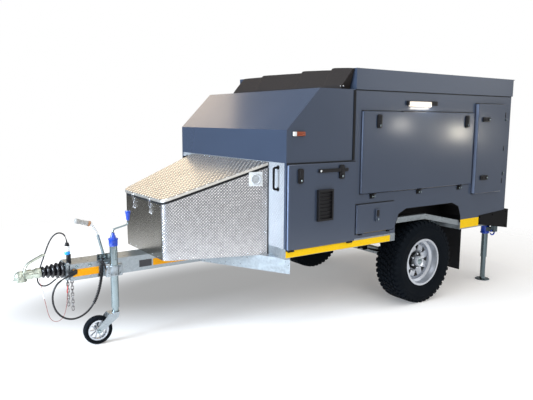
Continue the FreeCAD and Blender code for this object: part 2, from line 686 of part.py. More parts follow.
def roof_lid():
    """Shallow lid over the whole roof: fascia, top sheet and a thin rear lip."""
    half = BODY_HALF_W + LID_OVERHANG
    z0, z1 = ROOF_Z + SEAT_GAP, ROOF_Z + LID_H
    x0, x1 = CABIN_REAR - 2, CABIN_FRONT
    shell = box(x0, x1, -half, half, z0, z1)
    t = LID_SHEET
    shell = shell.cut(box(x0 + t, x1 - t, -half + t, half - t, z0 - 1, z1 - t))
    lip = box(x0 - LID_LIP, x0, -half, half, z1 - LID_LIP_T, z1)
    flange = box(x0, x1, -half, half, z0, z0 + t).cut(
        box(x0 + WALL, x1 - WALL, -half + WALL + LID_OVERHANG, half - WALL - LID_OVERHANG, z0, z0 + t))
    return fused([shell, lip, flange] + lid_knuckles())


def tent_cover():
    """Closed soft wedge of folded fabric in front of the roof lid."""
    x0, low, high = CABIN_FRONT + COVER_GAP, ROOF_Z + SEAT_GAP, ROOF_Z + COVER_H
    outline = [(x0, low), (x0 + COVER_L, low), (x0 + COVER_L * 0.88, ROOF_Z + COVER_H * 0.21),
               (x0 + COVER_L * 0.14, high), (x0, high)]
    return prism_xz(outline, COVER_GAP - BODY_HALF_W, BODY_HALF_W - COVER_GAP)


# Doors

def side_door(door, pan_t, plug_x0=None):
    """A left-hand door: outer pan with a softened rim, and the plug behind it."""
    x0, x1, z0, z1 = door
    face_y = BODY_HALF_W + SEAT_GAP
    pan = box(x0, x1, face_y, face_y + pan_t, z0, z1)
    rim = [e for e in pan.Edges if all(abs(v.Y - face_y - pan_t) < 0.01 for v in e.Vertexes)]
    pan = pan.makeChamfer(PAN_EDGE, rim)
    start = x0 if plug_x0 is None else plug_x0
    plug = box(start + PLUG_INSET, x1 - PLUG_INSET, face_y - PLUG_T, face_y, z0 + PLUG_INSET,
               z1 - PLUG_INSET)
    return fused([pan, plug])


def lock_at(x, z, face_y, level):
    """A compression lock: a slim plate with a key barrel, standing or lying."""
    w, h = (LOCK_L, LOCK_W * 0.9) if level else (LOCK_W, LOCK_L)
    plate = box(x - w / 2, x + w / 2, face_y, face_y + LOCK_T, z - h / 2, z + h / 2)
    edges = [e for e in plate.Edges if abs(e.Vertexes[0].Y - e.Vertexes[-1].Y) > 1]
    plate = plate.makeFillet(LOCK_CORNER_R, edges)
    at = V(x - w * 0.3, face_y, z) if level else V(x, face_y, z - h * 0.3)
    barrel = Part.makeCylinder(LOCK_BARREL_R, LOCK_T + LOCK_BARREL_OUT, at, V(0, 1, 0))
    return fused([plate, barrel])


def knuckle_z(door):
    """Height of a drop-down door's hinge line."""
    return door[2] - HINGE_OFF


def knuckles(door, xs, pan_t):
    """Hinge barrels on a drop-down door with the straps that carry them."""
    y, z = BODY_HALF_W + SEAT_GAP + pan_t - HINGE_R, knuckle_z(door)
    out = []
    for x in xs:
        barrel = rod(V(x - LEAF_L / 2, y, z), V(x - LEAF_L / 2 + LEAF_L * 0.45, y, z), HINGE_R)
        strap = box(x - LEAF_L / 2, x - LEAF_L / 2 + LEAF_L * 0.45, y - 3, y + 2, z, door[2])
        out.append(fused([barrel, strap]))
    return out


def leaves(door, xs, pan_t, plated=True):
    """The wall halves of the same hinges, with or without an outer plate."""
    y, z = BODY_HALF_W + SEAT_GAP + pan_t - HINGE_R, knuckle_z(door)
    out = []
    for x in xs:
        x0 = x - LEAF_L / 2 + LEAF_L * 0.5
        barrel = rod(V(x0, y, z), V(x + LEAF_L / 2, y, z), HINGE_R)
        web = box(x0, x + LEAF_L / 2, BODY_HALF_W, y, z - WEB_T, z)
        leaf = box(x - LEAF_L / 2, x + LEAF_L / 2, BODY_HALF_W, BODY_HALF_W + LEAF_T, z - LEAF_H, z - WEB_T)
        out.append(fused([barrel, web, leaf] if plated else [barrel, web]))
    return out


def front_door_left():
    """Front side door, its plug held back behind the cabin's front post."""
    return side_door(FRONT_DOOR, PAN_T, CABIN_FRONT)


def front_fittings_left():
    """Two locks, bar handle with lamp, framed vent and hinge knuckles of the front door."""
    face_y = BODY_HALF_W + SEAT_GAP + PAN_T
    x0, x1, z0, z1 = BAR
    bar = box(x0, x1, face_y, face_y + BAR_T, z0, z1)
    bar = bar.makeFillet(BAR_CORNER_R, [e for e in bar.Edges if abs(e.Vertexes[0].Y - e.Vertexes[-1].Y) > 1])
    pieces = [lock_at(x, z, face_y, False) for x, z in FRONT_LOCKS] + [bar, vent(face_y)]
    return Part.makeCompound(pieces + knuckles(FRONT_DOOR, FRONT_HINGES, PAN_T))


def vent(face_y):
    """Square frame with a row of level louvres."""
    x0, x1, z0, z1 = VENT
    back = face_y + VENT_BACK_T
    i0, i1, low, high = x0 + VENT_FRAME, x1 - VENT_FRAME, z0 + VENT_FRAME, z1 - VENT_FRAME
    frame = box(x0, x1, face_y, face_y + VENT_T, z0, z1).cut(
        box(i0, i1, back, face_y + VENT_T + 1, low, high))
    pitch = (high - low) / (LOUVRES + 0.5)
    louvres = [box(i0, i1, back, back + LOUVRE_OUT, z, z + LOUVRE_T)
               for z in (low + pitch * (n + 0.75) for n in range(LOUVRES))]
    return fused([frame] + louvres)


def small_hatch_left():
    """Small lower hatch with its lock and hinge knuckles."""
    face_y = BODY_HALF_W + SEAT_GAP + PAN_T
    locks = [lock_at(x, z, face_y, False) for x, z in SMALL_LOCKS]
    return fused([side_door(SMALL_HATCH, PAN_T)] + locks + knuckles(SMALL_HATCH, SMALL_HINGES, PAN_T))


def big_hatch_left():
    """Large side hatch."""
    return side_door(BIG_HATCH, PAN_T)


def big_fittings_left():
    """Two locks and the hinge knuckles of the large hatch."""
    face_y = BODY_HALF_W + SEAT_GAP + PAN_T
    locks = [lock_at(x, z, face_y, False) for x, z in BIG_LOCKS]
    return Part.makeCompound(locks + knuckles(BIG_HATCH, BIG_HINGES, PAN_T))


def rear_door_left():
    """Narrow tall door at the rear of the side."""
    return side_door(REAR_DOOR, REAR_PAN_T)


def rear_hinge_line():
    """Plan position of the narrow rear door's upright hinge line."""
    return REAR_DOOR[0] - HINGE_OFF, BODY_HALF_W + SEAT_GAP + REAR_PAN_T - HINGE_R


def rear_fittings_left():
    """Two lying locks and the upright hinge's barrels on the narrow rear door."""
    face_y = BODY_HALF_W + SEAT_GAP + REAR_PAN_T
    locks = [lock_at(x, z, face_y, True) for x, z in REAR_LOCKS]
    x, y = rear_hinge_line()
    barrels = []
    for z in REAR_HINGES:
        barrel = rod(V(x, y, z), V(x, y, z + LEAF_L * 0.45), HINGE_R)
        strap = box(x, REAR_DOOR[0], y - 3, y + 2, z, z + LEAF_L * 0.45)
        barrels.append(fused([barrel, strap]))
    return Part.makeCompound(locks + barrels)


def rear_leaves():
    """Wall halves of the narrow rear door's hinges."""
    x, y = rear_hinge_line()
    out = []
    for z in REAR_HINGES:
        z1 = z - 0.5
        barrel = rod(V(x, y, z1 - LEAF_L * 0.45), V(x, y, z1), HINGE_R)
        low, high = z1 - LEAF_L * 0.45, z1 + LEAF_L * 0.45
        web = box(x - WEB_T, x, BODY_HALF_W, y, low, z1)
        leaf = box(x - LEAF_H, x - WEB_T, BODY_HALF_W, BODY_HALF_W + LEAF_T, low, high)
        out.append(fused([barrel, web, leaf]))
    return out


def tail_hinge_line():
    """Side-view position of the tail hatch's upper hinge line."""
    return CABIN_REAR - SEAT_GAP - PAN_T + HINGE_R, TAIL_HATCH[1] + HINGE_OFF


def tail_hatch():
    """Upward-opening hatch in the rear wall."""
    half, (z0, z1) = TAIL_HATCH_HALF_W, TAIL_HATCH
    x1 = CABIN_REAR - SEAT_GAP
    pan = box(x1 - PAN_T, x1, -half, half, z0, z1)
    rim = [e for e in pan.Edges if all(abs(v.X - x1 + PAN_T) < 0.01 for v in e.Vertexes)]
    pan = pan.makeChamfer(PAN_EDGE, rim)
    plug = box(x1, x1 + PLUG_T, -half + PLUG_INSET, half - PLUG_INSET, z0 + PLUG_INSET, z1 - PLUG_INSET)
    return fused([pan, plug] + tail_fittings())


def tail_fittings():
    """Two locks and the hinge knuckles of the tail hatch."""
    x1 = CABIN_REAR - SEAT_GAP - PAN_T
    out = []
    low, lock_y = TAIL_HATCH[0] + TAIL_LOCK_UP, TAIL_HATCH_HALF_W - TAIL_LOCK_INSET
    for y in (-lock_y, lock_y):
        plate = box(x1 - LOCK_T, x1, y - LOCK_W / 2, y + LOCK_W / 2, low, low + LOCK_L)
        edges = [e for e in plate.Edges if abs(e.Vertexes[0].X - e.Vertexes[-1].X) > 1]
        out.append(plate.makeFillet(LOCK_CORNER_R, edges))
    x, z = tail_hinge_line()
    for y in TAIL_HINGES:
        barrel = rod(V(x, y - LEAF_L / 2, z), V(x, y - LEAF_L * 0.05, z), HINGE_R)
        strap = box(x - 2, x + 3, y - LEAF_L / 2, y - LEAF_L * 0.05, TAIL_HATCH[1], z)
        out.append(fused([barrel, strap]))
    return out


def tail_leaves():
    """Wall halves of the tail hatch's hinges."""
    x, z = tail_hinge_line()
    out = []
    for y in TAIL_HINGES:
        barrel = rod(V(x, y, z), V(x, y + LEAF_L / 2, z), HINGE_R)
        web = box(x, CABIN_REAR, y, y + LEAF_L / 2, z, z + WEB_T)
        leaf = box(CABIN_REAR - LEAF_T, CABIN_REAR, y - LEAF_L / 2, y + LEAF_L / 2, z + WEB_T, z + LEAF_H)
        out.append(fused([barrel, web, leaf]))
    return out


def hinge_leaves():
    """All the hinge halves fixed to the body, in one node of separate solids."""
    left = leaves(SMALL_HATCH, SMALL_HINGES, PAN_T, False) + leaves(BIG_HATCH, BIG_HINGES, PAN_T)
    left += leaves(FRONT_DOOR, FRONT_HINGES, PAN_T, False) + rear_leaves()
    right = [mirrored(shape) for shape in left]
    return Part.makeCompound(left + right + tail_leaves() + lid_leaves())


# Front box

def box_lid_z(x):
    """Height of the front box lid's top surface at x."""
    share = (x - NOSE_FRONT) / (BOX_FRONT - NOSE_FRONT)
    return BELT_Z + (BOX_FRONT_TOP - BELT_Z) * share


def box_plan(grow, rear):
    """Plan outline of the front box, grown outward by a margin."""
    slope = (BOX_REAR_HALF_W - BOX_FRONT_HALF_W) / (BOX_FRONT - NOSE_FRONT)
    side = grow * math.sqrt(1 + slope * slope)
    y_rear = BOX_REAR_HALF_W + side - slope * (rear - NOSE_FRONT)
    y_front = BOX_FRONT_HALF_W + side - slope * grow
    x1, r = BOX_FRONT + grow, BOX_CORNER_R + grow
    return rounded_plan([(rear, -y_rear), (x1, -y_front), (x1, y_front), (rear, y_rear)], [0, r, r, 0])


def box_slab(grow, rear, low, high):
    """The box outline between two planes parallel to the lid, measured down from its top."""
    column = Part.Face(box_plan(grow, rear)).extrude(V(0, 0, 2 * BELT_Z))
    x0, x1 = NOSE_FRONT - 50, BOX_FRONT + 100
    wedge = prism_xz([(x0, box_lid_z(x0) + low), (x1, box_lid_z(x1) + low), (x1, box_lid_z(x1) + high),
                      (x0, box_lid_z(x0) + high)], -BODY_HALF_W, BODY_HALF_W)
    return column.common(wedge)


def toolbox():
    """Tapered front box, open at the top under its seal."""
    low = -(BOX_LID_T + BOX_SEAL_T)
    floor_cut = box(0, BOX_FRONT + 200, -BODY_HALF_W, BODY_HALF_W, 0, DRAWBAR_TOP)
    outer = box_slab(0, NOSE_FRONT, low - 2 * BELT_Z, low).cut(floor_cut)
    inside = Part.Face(box_plan(-BOX_WALL, NOSE_FRONT + BOX_WALL)).extrude(V(0, 0, 2 * BELT_Z))
    inside = inside.cut(box(0, BOX_FRONT + 200, -BODY_HALF_W, BODY_HALF_W, 0, DRAWBAR_TOP + BOX_WALL))
    return outer.cut(inside)


def toolbox_seal():
    """Rubber strip on the box's rim."""
    low, high = -(BOX_LID_T + BOX_SEAL_T), -(BOX_LID_T + SEAT_GAP)
    outer = box_slab(0, NOSE_FRONT, low, high)
    return outer.cut(box_slab(-BOX_SEAL_W, NOSE_FRONT + BOX_SEAL_W, low - 1, high + 1))


def toolbox_lid():
    """Pressed lid with a turned-down edge and its hinge barrel."""
    rear = NOSE_FRONT + BOX_HINGE_GAP
    pan = box_slab(BOX_LID_OVERHANG, rear, -BOX_LID_T, 0)
    hollow = box_slab(BOX_LID_OVERHANG - BOX_WALL, rear + BOX_WALL, -BOX_LID_T - 1, -BOX_WALL)
    ledge = box_slab(BOX_LID_OVERHANG - BOX_WALL, rear, -BOX_LID_T, -BOX_LID_T + BOX_WALL).cut(
        box_slab(-BOX_LEDGE_W, rear + BOX_LEDGE_W, -BOX_LID_T - 1, -BOX_LID_T + BOX_WALL + 1))
    return fused([pan.cut(hollow), ledge])


def round_vent(base, out, turn):
    """A ring with a dished middle on a square plate, facing along a box side."""
    half = BOX_VENT_PLATE / 2
    plate = box(-half, half, 0, BOX_VENT_PLATE_T, -half, half)
    plate.Placement = FreeCAD.Placement(base, FreeCAD.Rotation(V(0, 0, 1), -turn))
    ring = Part.makeCylinder(BOX_VENT_R, BOX_VENT_T, base, out)
    r0, r1 = BOX_VENT_EYE_R
    dish = Part.makeCone(r0, r1, BOX_VENT_EYE_DEPTH, base + out * (BOX_VENT_T - BOX_VENT_EYE_DEPTH), out)
    return fused([plate, ring]).cut(dish)


def front_fittings():
    """Grab handles on the front wall corners, round vents and toggle latches of the front box."""
    grab_x, grab_y = NOSE_FRONT + GRAB_OUT, BODY_HALF_W - GRAB_INSET
    grab = [rod(V(NOSE_FRONT, grab_y, z), V(grab_x, grab_y, z), GRAB_POST_R) for z in GRAB_POST_Z]
    grab.append(rod(V(grab_x, grab_y, GRAB_Z[0]), V(grab_x, grab_y, GRAB_Z[1]), GRAB_R))
    x, z = BOX_VENT
    slope = math.atan2(BOX_REAR_HALF_W - BOX_FRONT_HALF_W, BOX_FRONT - NOSE_FRONT)
    y = BOX_REAR_HALF_W - (x - NOSE_FRONT) * math.tan(slope)
    out = V(math.sin(slope), math.cos(slope), 0)
    left = [fused(grab), round_vent(V(x, y, z), out, math.degrees(slope))]
    rim_z = BOX_FRONT_TOP - BOX_LID_T - BOX_SEAL_T
    top, x0, x1 = rim_z - TOGGLE_DOWN, BOX_FRONT + TOGGLE_T, BOX_FRONT + TOGGLE_T + TOGGLE_ARM_T
    high, low = TOGGLE_ARM_DOWN
    toggles = []
    for y in (-TOGGLE_Y, TOGGLE_Y):
        plate = box(BOX_FRONT, x0, y - TOGGLE_W / 2, y + TOGGLE_W / 2, top - TOGGLE_L, top)
        arm = box(x0, x1, y - TOGGLE_ARM_W / 2, y + TOGGLE_ARM_W / 2, rim_z - low, rim_z - high)
        toggles.append(fused([plate, arm]))
    return Part.makeCompound([mirrored(p) for p in left] + left + toggles)


# Coupling end

def coupling_housing():
    """Cast body of the coupling between the drawbar rails, with its front flange and eyes."""
    inner = DRAWBAR_HALF_W / 2
    z0, z1 = DRAWBAR_TOP - DRAWBAR_H, DRAWBAR_TOP - DRAWBAR_PLATE
    body = box(HOUSING_REAR, DRAWBAR_FRONT, -inner, inner, z0 + HOUSING_SHY, z1)
    flange = box(DRAWBAR_FRONT, HOUSING_FRONT, -FLANGE_HALF_W, FLANGE_HALF_W, z0, DRAWBAR_TOP + FLANGE_RISE)
    edges = [e for e in flange.Edges if abs(e.Vertexes[0].X - e.Vertexes[-1].X) > 1]
    flange = flange.makeFillet(FLANGE_CORNER_R, edges)
    return fused([body, flange])


def coupling_bellows():
    """Rubber gaiter over the drawtube, its folds growing towards the rear."""
    length = BELLOWS_FRONT - HOUSING_FRONT
    step = length / BELLOWS_FOLDS
    outline = [(0, 0)]
    for n in range(BELLOWS_FOLDS):
        share = n / (BELLOWS_FOLDS - 1)
        r = BELLOWS_R + (BELLOWS_FRONT_R - BELLOWS_R) * share
        x = n * step
        outline += [(r - BELLOWS_DEPTH, x), (r, x + step * 0.35), (r, x + step * 0.65)]
    outline += [(BELLOWS_FRONT_R - BELLOWS_DEPTH, length), (0, length)]
    return turned(outline, V(HOUSING_FRONT, 0, COUPLING_Z), V(1, 0, 0))


def coupling_head():
    """Ball coupling: collar, tapering neck, cup with its socket, and the raised handle."""
    neck = turned(NECK, V(BELLOWS_FRONT, 0, COUPLING_Z), V(1, 0, 0))
    low = BALL_Z - CUP_DEPTH
    cup = Part.makeSphere(CUP_R, V(BALL_X, 0, BALL_Z))
    skirt = Part.makeCylinder(CUP_R, CUP_DEPTH, V(BALL_X, 0, low))
    near = [(BALL_X + x, -y) for x, y in CUP_LIP] + [(NOSE_TIP, -CUP_LIP_TIP)]
    lip = prism_xy(near + [(x, -y) for x, y in reversed(near)], low, low + CUP_LIP_T)
    back = BALL_X - CUP_WEB_BACK
    web = prism_xz([(x, BALL_Z + z) for x, z in zip((back, BALL_X, BALL_X, back), CUP_WEB_Z)],
                   -CUP_WEB_HALF_W, CUP_WEB_HALF_W)
    solid = fused([neck, cup, skirt, lip, web])
    socket = fused([Part.makeSphere(BALL_BORE_R, V(BALL_X, 0, BALL_Z)),
                    Part.makeCylinder(BALL_BORE_R, 2 * BALL_BORE_R, V(BALL_X, 0, BALL_Z - 2 * BALL_BORE_R))])
    return fused([solid.cut(socket), prism_xz(HANDLE, -HANDLE_HALF_W, HANDLE_HALF_W)])


def handbrake_lever():
    """Handbrake: pivot bracket on the drawbar, arm and grip."""
    x0, x1 = BRAKE_BASE
    base = box(x0, x1, BRAKE_Y - BRAKE_BASE_HALF_W, BRAKE_Y + BRAKE_BASE_HALF_W, DRAWBAR_TOP,
               DRAWBAR_TOP + BRAKE_BASE_H)
    low, knee, high = (V(x, BRAKE_Y, z) for x, z in BRAKE_ARM)
    grip = rod(*(V(x, BRAKE_Y, z) for x, z in BRAKE_GRIP), BRAKE_GRIP_R)
    return fused([base, rod(low, knee, BRAKE_ARM_R[0]), rod(knee, high, BRAKE_ARM_R[1]), grip])


def jockey_tube():
    """Outer tube of the jockey wheel with its clamp on the drawbar."""
    at = (JOCKEY_X, JOCKEY_Y)
    outer = rod(V(*at, JOCKEY_TUBE_Z0), V(*at, JOCKEY_TUBE_Z1), JOCKEY_TUBE_R)
    bore = rod(V(*at, JOCKEY_TUBE_Z0 - 1), V(*at, JOCKEY_TUBE_Z1 - JOCKEY_CAP_T), JOCKEY_LEG_R + FIT)
    y, half, web = DRAWBAR_HALF_W + JOCKEY_CLAMP_T, JOCKEY_CLAMP_L / 2, JOCKEY_WEB_L / 2
    low, high = JOCKEY_SLEEVE_Z
    clamp = fused([box(JOCKEY_X - half, JOCKEY_X + half, DRAWBAR_HALF_W, y, *JOCKEY_CLAMP_Z),
                   box(JOCKEY_X - web, JOCKEY_X + web, y, JOCKEY_Y, low, high),
                   rod(V(*at, low), V(*at, high), JOCKEY_TUBE_R + SLEEVE_T)])
    return fused([outer, clamp, jockey_crank()]).cut(bore)


def jockey_crank():
    """Cap, cone and crank on top of the jockey tube."""
    cap = turned(CAP, V(JOCKEY_X, JOCKEY_Y, JOCKEY_TUBE_Z1), V(0, 0, 1))
    foot, knee, end = (V(JOCKEY_X + x, JOCKEY_Y, JOCKEY_TUBE_Z1 + z) for x, z in CRANK)
    grip = rod(*(V(JOCKEY_X + x, JOCKEY_Y, JOCKEY_TUBE_Z1 + z) for x, z in CRANK_GRIP), CRANK_GRIP_R)
    return fused([cap, rod(foot, knee, CRANK_R), rod(knee - V(0, 0, CRANK_R / 2), end, CRANK_R), grip])


def jockey_leg():
    """Sliding inner tube."""
    low, high = 2 * JOCKEY_WHEEL_R + FORK_OVER_WHEEL, JOCKEY_TUBE_Z0 + JOCKEY_LEG_IN
    return rod(V(JOCKEY_X, JOCKEY_Y, low), V(JOCKEY_X, JOCKEY_Y, high), JOCKEY_LEG_R)


def jockey_fork():
    """Swivelling fork that trails the wheel behind its tube."""
    half = JOCKEY_WHEEL_W / 2 + FORK_CLEAR
    r, top = JOCKEY_WHEEL_R, 2 * JOCKEY_WHEEL_R + FORK_OVER_WHEEL - SEAT_GAP
    x0, x1, wx = JOCKEY_X + FORK_TOP[0], JOCKEY_X + FORK_TOP[1], JOCKEY_X + JOCKEY_TRAIL
    low = top - FORK_CROWN_T
    collar = rod(V(JOCKEY_X, JOCKEY_Y, low), V(JOCKEY_X, JOCKEY_Y, top), JOCKEY_LEG_R + SLEEVE_T)
    crown = prism_xz([(x0, low), (x1, low), (x1, top - 4), (x0, top)],
                     JOCKEY_Y - half - FORK_SHEET, JOCKEY_Y + half + FORK_SHEET)
    side = [(x0, top - 2), (x1, top - 4), (wx + 20, r + 14), (wx + 16, r - 16), (wx - 18, r - 10),
            (JOCKEY_X - 10, top - 40)]
    cheeks = [prism_xz(side, y0, y0 + FORK_SHEET) for y0 in (JOCKEY_Y - half - FORK_SHEET, JOCKEY_Y + half)]
    reach = half + FORK_SHEET + 4
    pin = rod(V(wx, JOCKEY_Y - reach, r), V(wx, JOCKEY_Y + reach, r), JOCKEY_PIN_R)
    return fused([collar, crown, pin] + cheeks)


def jockey_tyre():
    """Solid rubber tyre of the jockey wheel."""
    r, half = JOCKEY_WHEEL_R, JOCKEY_WHEEL_W / 2
    outline = [(JOCKEY_RIM_R, -half + 4), (r - 10, -half), (r - 2, -half + 10), (r, -half + 20)]
    outline += [(a, -b) for a, b in reversed(outline)]
    return turned(outline, V(JOCKEY_X + JOCKEY_TRAIL, JOCKEY_Y, r), V(0, 1, 0))


def jockey_rim():
    """Spoked centre of the jockey wheel."""
    r0, r1, half = JOCKEY_RIM_R - JOCKEY_RIM_T, JOCKEY_RIM_R, JOCKEY_RIM_W / 2
    bore, reach = JOCKEY_PIN_R + HUB_FIT, JOCKEY_HUB_W / 2
    ring = turned([(r1, -half), (r1, half), (r0, half), (r0, -half)], V(0, 0, 0), V(0, 0, 1))
    hub = turned([(bore, -reach), (JOCKEY_HUB_R, -reach), (JOCKEY_HUB_R, reach), (bore, reach)],
                 V(0, 0, 0), V(0, 0, 1))
    parts = [ring, hub]
    for n in range(JOCKEY_SPOKES):
        spoke = box(JOCKEY_HUB_R - 4, r0 + 4, -SPOKE_W / 2, SPOKE_W / 2, -SPOKE_T / 2, SPOKE_T / 2)
        spoke.rotate(V(0, 0, 0), V(0, 0, 1), n * 360.0 / JOCKEY_SPOKES)
        parts.append(spoke)
    wheel = fused(parts)
    wheel.Placement = FreeCAD.Placement(V(JOCKEY_X + JOCKEY_TRAIL, JOCKEY_Y, JOCKEY_WHEEL_R),
                                        FreeCAD.Rotation(V(0, 0, 1), V(0, 1, 0)))
    return wheel


# Rear end

def tail_lamp_ys():
    """The inner and outer ends of both tail lamps, right then left."""
    outer = BODY_HALF_W - TAIL_LAMP_INSET
    return (-outer, TAIL_LAMP_W - outer), (outer - TAIL_LAMP_W, outer)


def rear_bumper():
    """Wrap-round bumper of plate: rear face with lamp windows, shelf and tapering side plates."""
    half = BODY_HALF_W + BUMPER_T
    low, high = BUMPER_REAR_Z
    side = [(BUMPER_FRONT_X, BUMPER_FRONT_Z[1]), (BUMPER_FRONT_X, BUMPER_FRONT_Z[0]), (BUMPER_REAR, low),
            (BUMPER_REAR, high)]
    parts = [prism_xz(side, y, y + BUMPER_T) for y in (-half, BODY_HALF_W)]
    parts.append(box(BUMPER_REAR, BUMPER_REAR + BUMPER_T, -half, half, low, high))
    parts.append(box(BUMPER_REAR, CABIN_REAR, -half, half, RAIL_TOP, RAIL_TOP + BUMPER_T))
    bumper = fused(parts)
    for y0, y1 in tail_lamp_ys():
        bumper = bumper.cut(box(BUMPER_REAR - 1, BUMPER_REAR + BUMPER_T + 1, y0, y1, *TAIL_LAMP_Z))
    return bumper


def lamps():
    """Tail lamps, side lamps over the hatches and the nose marker lamps."""
    low, high = TAIL_LAMP_Z
    out = [box(BUMPER_REAR + 1, BUMPER_REAR + 1 + TAIL_LAMP_T, y0 + LAMP_GAP, y1 - LAMP_GAP,
               low + LAMP_GAP, high - LAMP_GAP) for y0, y1 in tail_lamp_ys()]
    for (x0, x1, z0, z1), depth in ((SIDE_LAMP, SIDE_LAMP_T), (MARKER, MARKER_T)):
        shape = box(x0, x1, BODY_HALF_W, BODY_HALF_W + depth, z0, z1)
        edges = [e for e in shape.Edges if abs(e.Vertexes[0].Y - e.Vertexes[-1].Y) > 1]
        rounded = shape.makeFillet(LAMP_CORNER_R, edges)
        out += [rounded, mirrored(rounded)]
    return Part.makeCompound(out)


def mud_flaps():
    """Rubber flaps behind the wheels, hung under the outriggers."""
    x0 = ARCH_REAR - FLAP_BEHIND_ARCH
    return pair(box(x0, x0 + FLAP_T, ARCH_IN_Y - FLAP_BEHIND_ARCH, BODY_HALF_W, FLAP_LOW, RAIL_TOP - RAIL_H))


def steady_tubes():
    """Outer tubes of the rear steadies with their brackets under the chassis."""
    at = (STEADY_X, STEADY_Y)
    outer = rod(V(*at, STEADY_TUBE_Z0), V(*at, STEADY_TUBE_Z1), STEADY_TUBE_R)
    bore = rod(V(*at, STEADY_TUBE_Z0 - 1), V(*at, STEADY_TUBE_Z1 + 1), STEADY_LEG_R + FIT)
    clamp = rod(V(*at, STEADY_CLAMP_Z[0]), V(*at, STEADY_CLAMP_Z[1]), STEADY_TUBE_R + SLEEVE_T)
    x0, x1 = STEADY_X - STEADY_ARM_W / 2, STEADY_X + STEADY_ARM_W / 2
    low, high = STEADY_ARM_Z
    post_y = BODY_HALF_W - RAIL_W
    arm = box(x0, x1, STEADY_Y, post_y + STEADY_POST_W, low, high)
    post = box(x0, x1, post_y, post_y + STEADY_POST_W, low, RAIL_TOP - RAIL_H)
    return pair(fused([outer, clamp, arm, post]).cut(bore))


def steady_leg_left():
    """Sliding inner leg with its round foot."""
    at = (STEADY_X, STEADY_Y)
    leg = rod(V(*at, STEADY_FOOT_T), V(*at, STEADY_TUBE_Z0 + STEADY_LEG_IN), STEADY_LEG_R)
    rim = [(STEADY_FOOT_R + r, z) for r, z in STEADY_FOOT]
    foot = turned([(0, 0), (STEADY_FOOT_R, 0)] + rim + [(0, rim[-1][1])], V(*at, 0), V(0, 0, 1))
    return fused([leg, foot])


# Chains and leads

def link_loop(r):
    """Outline of a link in the XZ plane, r from the middle of its end bends, each end four chords."""
    half = (LINK_IN_L - LINK_IN_W) / 2
    upper = [V(r * math.cos(n * math.pi / 4), 0, half + r * math.sin(n * math.pi / 4)) for n in range(5)]
    return face_of(upper + [V(p.x, 0, -p.z) for p in reversed(upper)])


def chain_link():
    """One link lying in the XZ plane, long side upright."""
    bar = V(0, LINK_BAR, 0)
    ring = link_loop(LINK_IN_W / 2 + LINK_BAR).extrude(bar).cut(link_loop(LINK_IN_W / 2).extrude(bar))
    ring.translate(V(0, -LINK_BAR / 2, 0))
    return ring


def safety_chains():
    """Two hanging safety chains, each from an eye under the drawbar's front end."""
    low = DRAWBAR_TOP - DRAWBAR_H
    y0, y1, hole_z = CHAIN_Y - EYE_HALF_T, CHAIN_Y + EYE_HALF_T, low - EYE_HOLE_DOWN
    eye = box(CHAIN_X - EYE_HALF_L, CHAIN_X + EYE_HALF_L, y0, y1, low - EYE_H, low)
    eye = eye.cut(rod(V(CHAIN_X, y0 - 1, hole_z), V(CHAIN_X, y1 + 1, hole_z), EYE_HOLE_R))
    solids = [eye]
    top = hole_z - EYE_HOLE_R + EYE_SLACK - LINK_IN_L / 2
    pitch = LINK_IN_L - LINK_SLACK
    for n in range(CHAIN_LINKS):
        link = chain_link()
        if n % 2 == 0:
            link.rotate(V(0, 0, 0), V(0, 0, 1), 90)
        link.translate(V(CHAIN_X, CHAIN_Y, top - n * pitch))
        solids.append(link)
    return Part.makeCompound(solids + [mirrored(s) for s in solids])


def cord_tube(route, radius, name):
    """Straight runs joined by tangent arcs, each as large as its two runs allow."""
    points = [V(*p) for p in route]
    ends = [points[0]]
    edges = []
    start = points[0]
    length = 0.0
    tightest = 1e9
    for i in range(1, len(points) - 1):
        here = points[i]
        back, ahead = points[i - 1].sub(here), points[i + 1].sub(here)
        turn = math.pi - back.getAngle(ahead)
        reach = 0.45 * min(back.Length, ahead.Length)
        bend = reach / math.tan(turn / 2)
        tightest = min(tightest, bend)
        a = here.add(V(back).normalize().multiply(reach))
        c = here.add(V(ahead).normalize().multiply(reach))
        middle = V(back).normalize().add(V(ahead).normalize()).normalize()
        b = here.add(middle.multiply(bend / math.cos(turn / 2) - bend))
        edges.append(Part.LineSegment(start, a).toShape())
        edges.append(Part.Arc(a, b, c).toShape())
        start = c
    edges.append(Part.LineSegment(start, points[-1]).toShape())
    path = Part.Wire(edges)
    ring = Part.Wire([Part.makeCircle(radius, points[0], points[1].sub(points[0]))])
    tube = path.makePipeShell([ring], True, False)
    want = math.pi * radius * radius * path.Length
    print(name, "length", round(path.Length, 1), "tightest bend", round(tightest, 1),
          "volume share", round(tube.Volume / want, 4))
    return tube


def power_lead():
    """Power lead from its gland, down and forward to the parked plug."""
    return cord_tube(LEAD_ROUTE, LEAD_R, "power_lead")


def trailer_cable():
    """Thin cable that rises from the socket post and loops down to the housing."""
    return cord_tube(CABLE_ROUTE, CABLE_R, "trailer_cable")


def breakaway_cable():
    """Breakaway cable looping under the coupling."""
    return cord_tube(SNAP_ROUTE, SNAP_R, "breakaway_cable")


def end_direction(route):
    """Where the lead leaves its route's last point, and in which direction."""
    last, before = V(*route[-1]), V(*route[-2])
    return last, last.sub(before).normalize()


def power_plug():
    """Seven-pin plug parked on its holder, along the lead's end."""
    end, out = end_direction(LEAD_ROUTE)
    neck = Part.makeCone(LEAD_R + 1, PLUG_NECK_R, PLUG_NECK_L, end, out)
    return fused([neck, Part.makeCylinder(PLUG_R, PLUG_L, end + out * PLUG_NECK_L, out)])


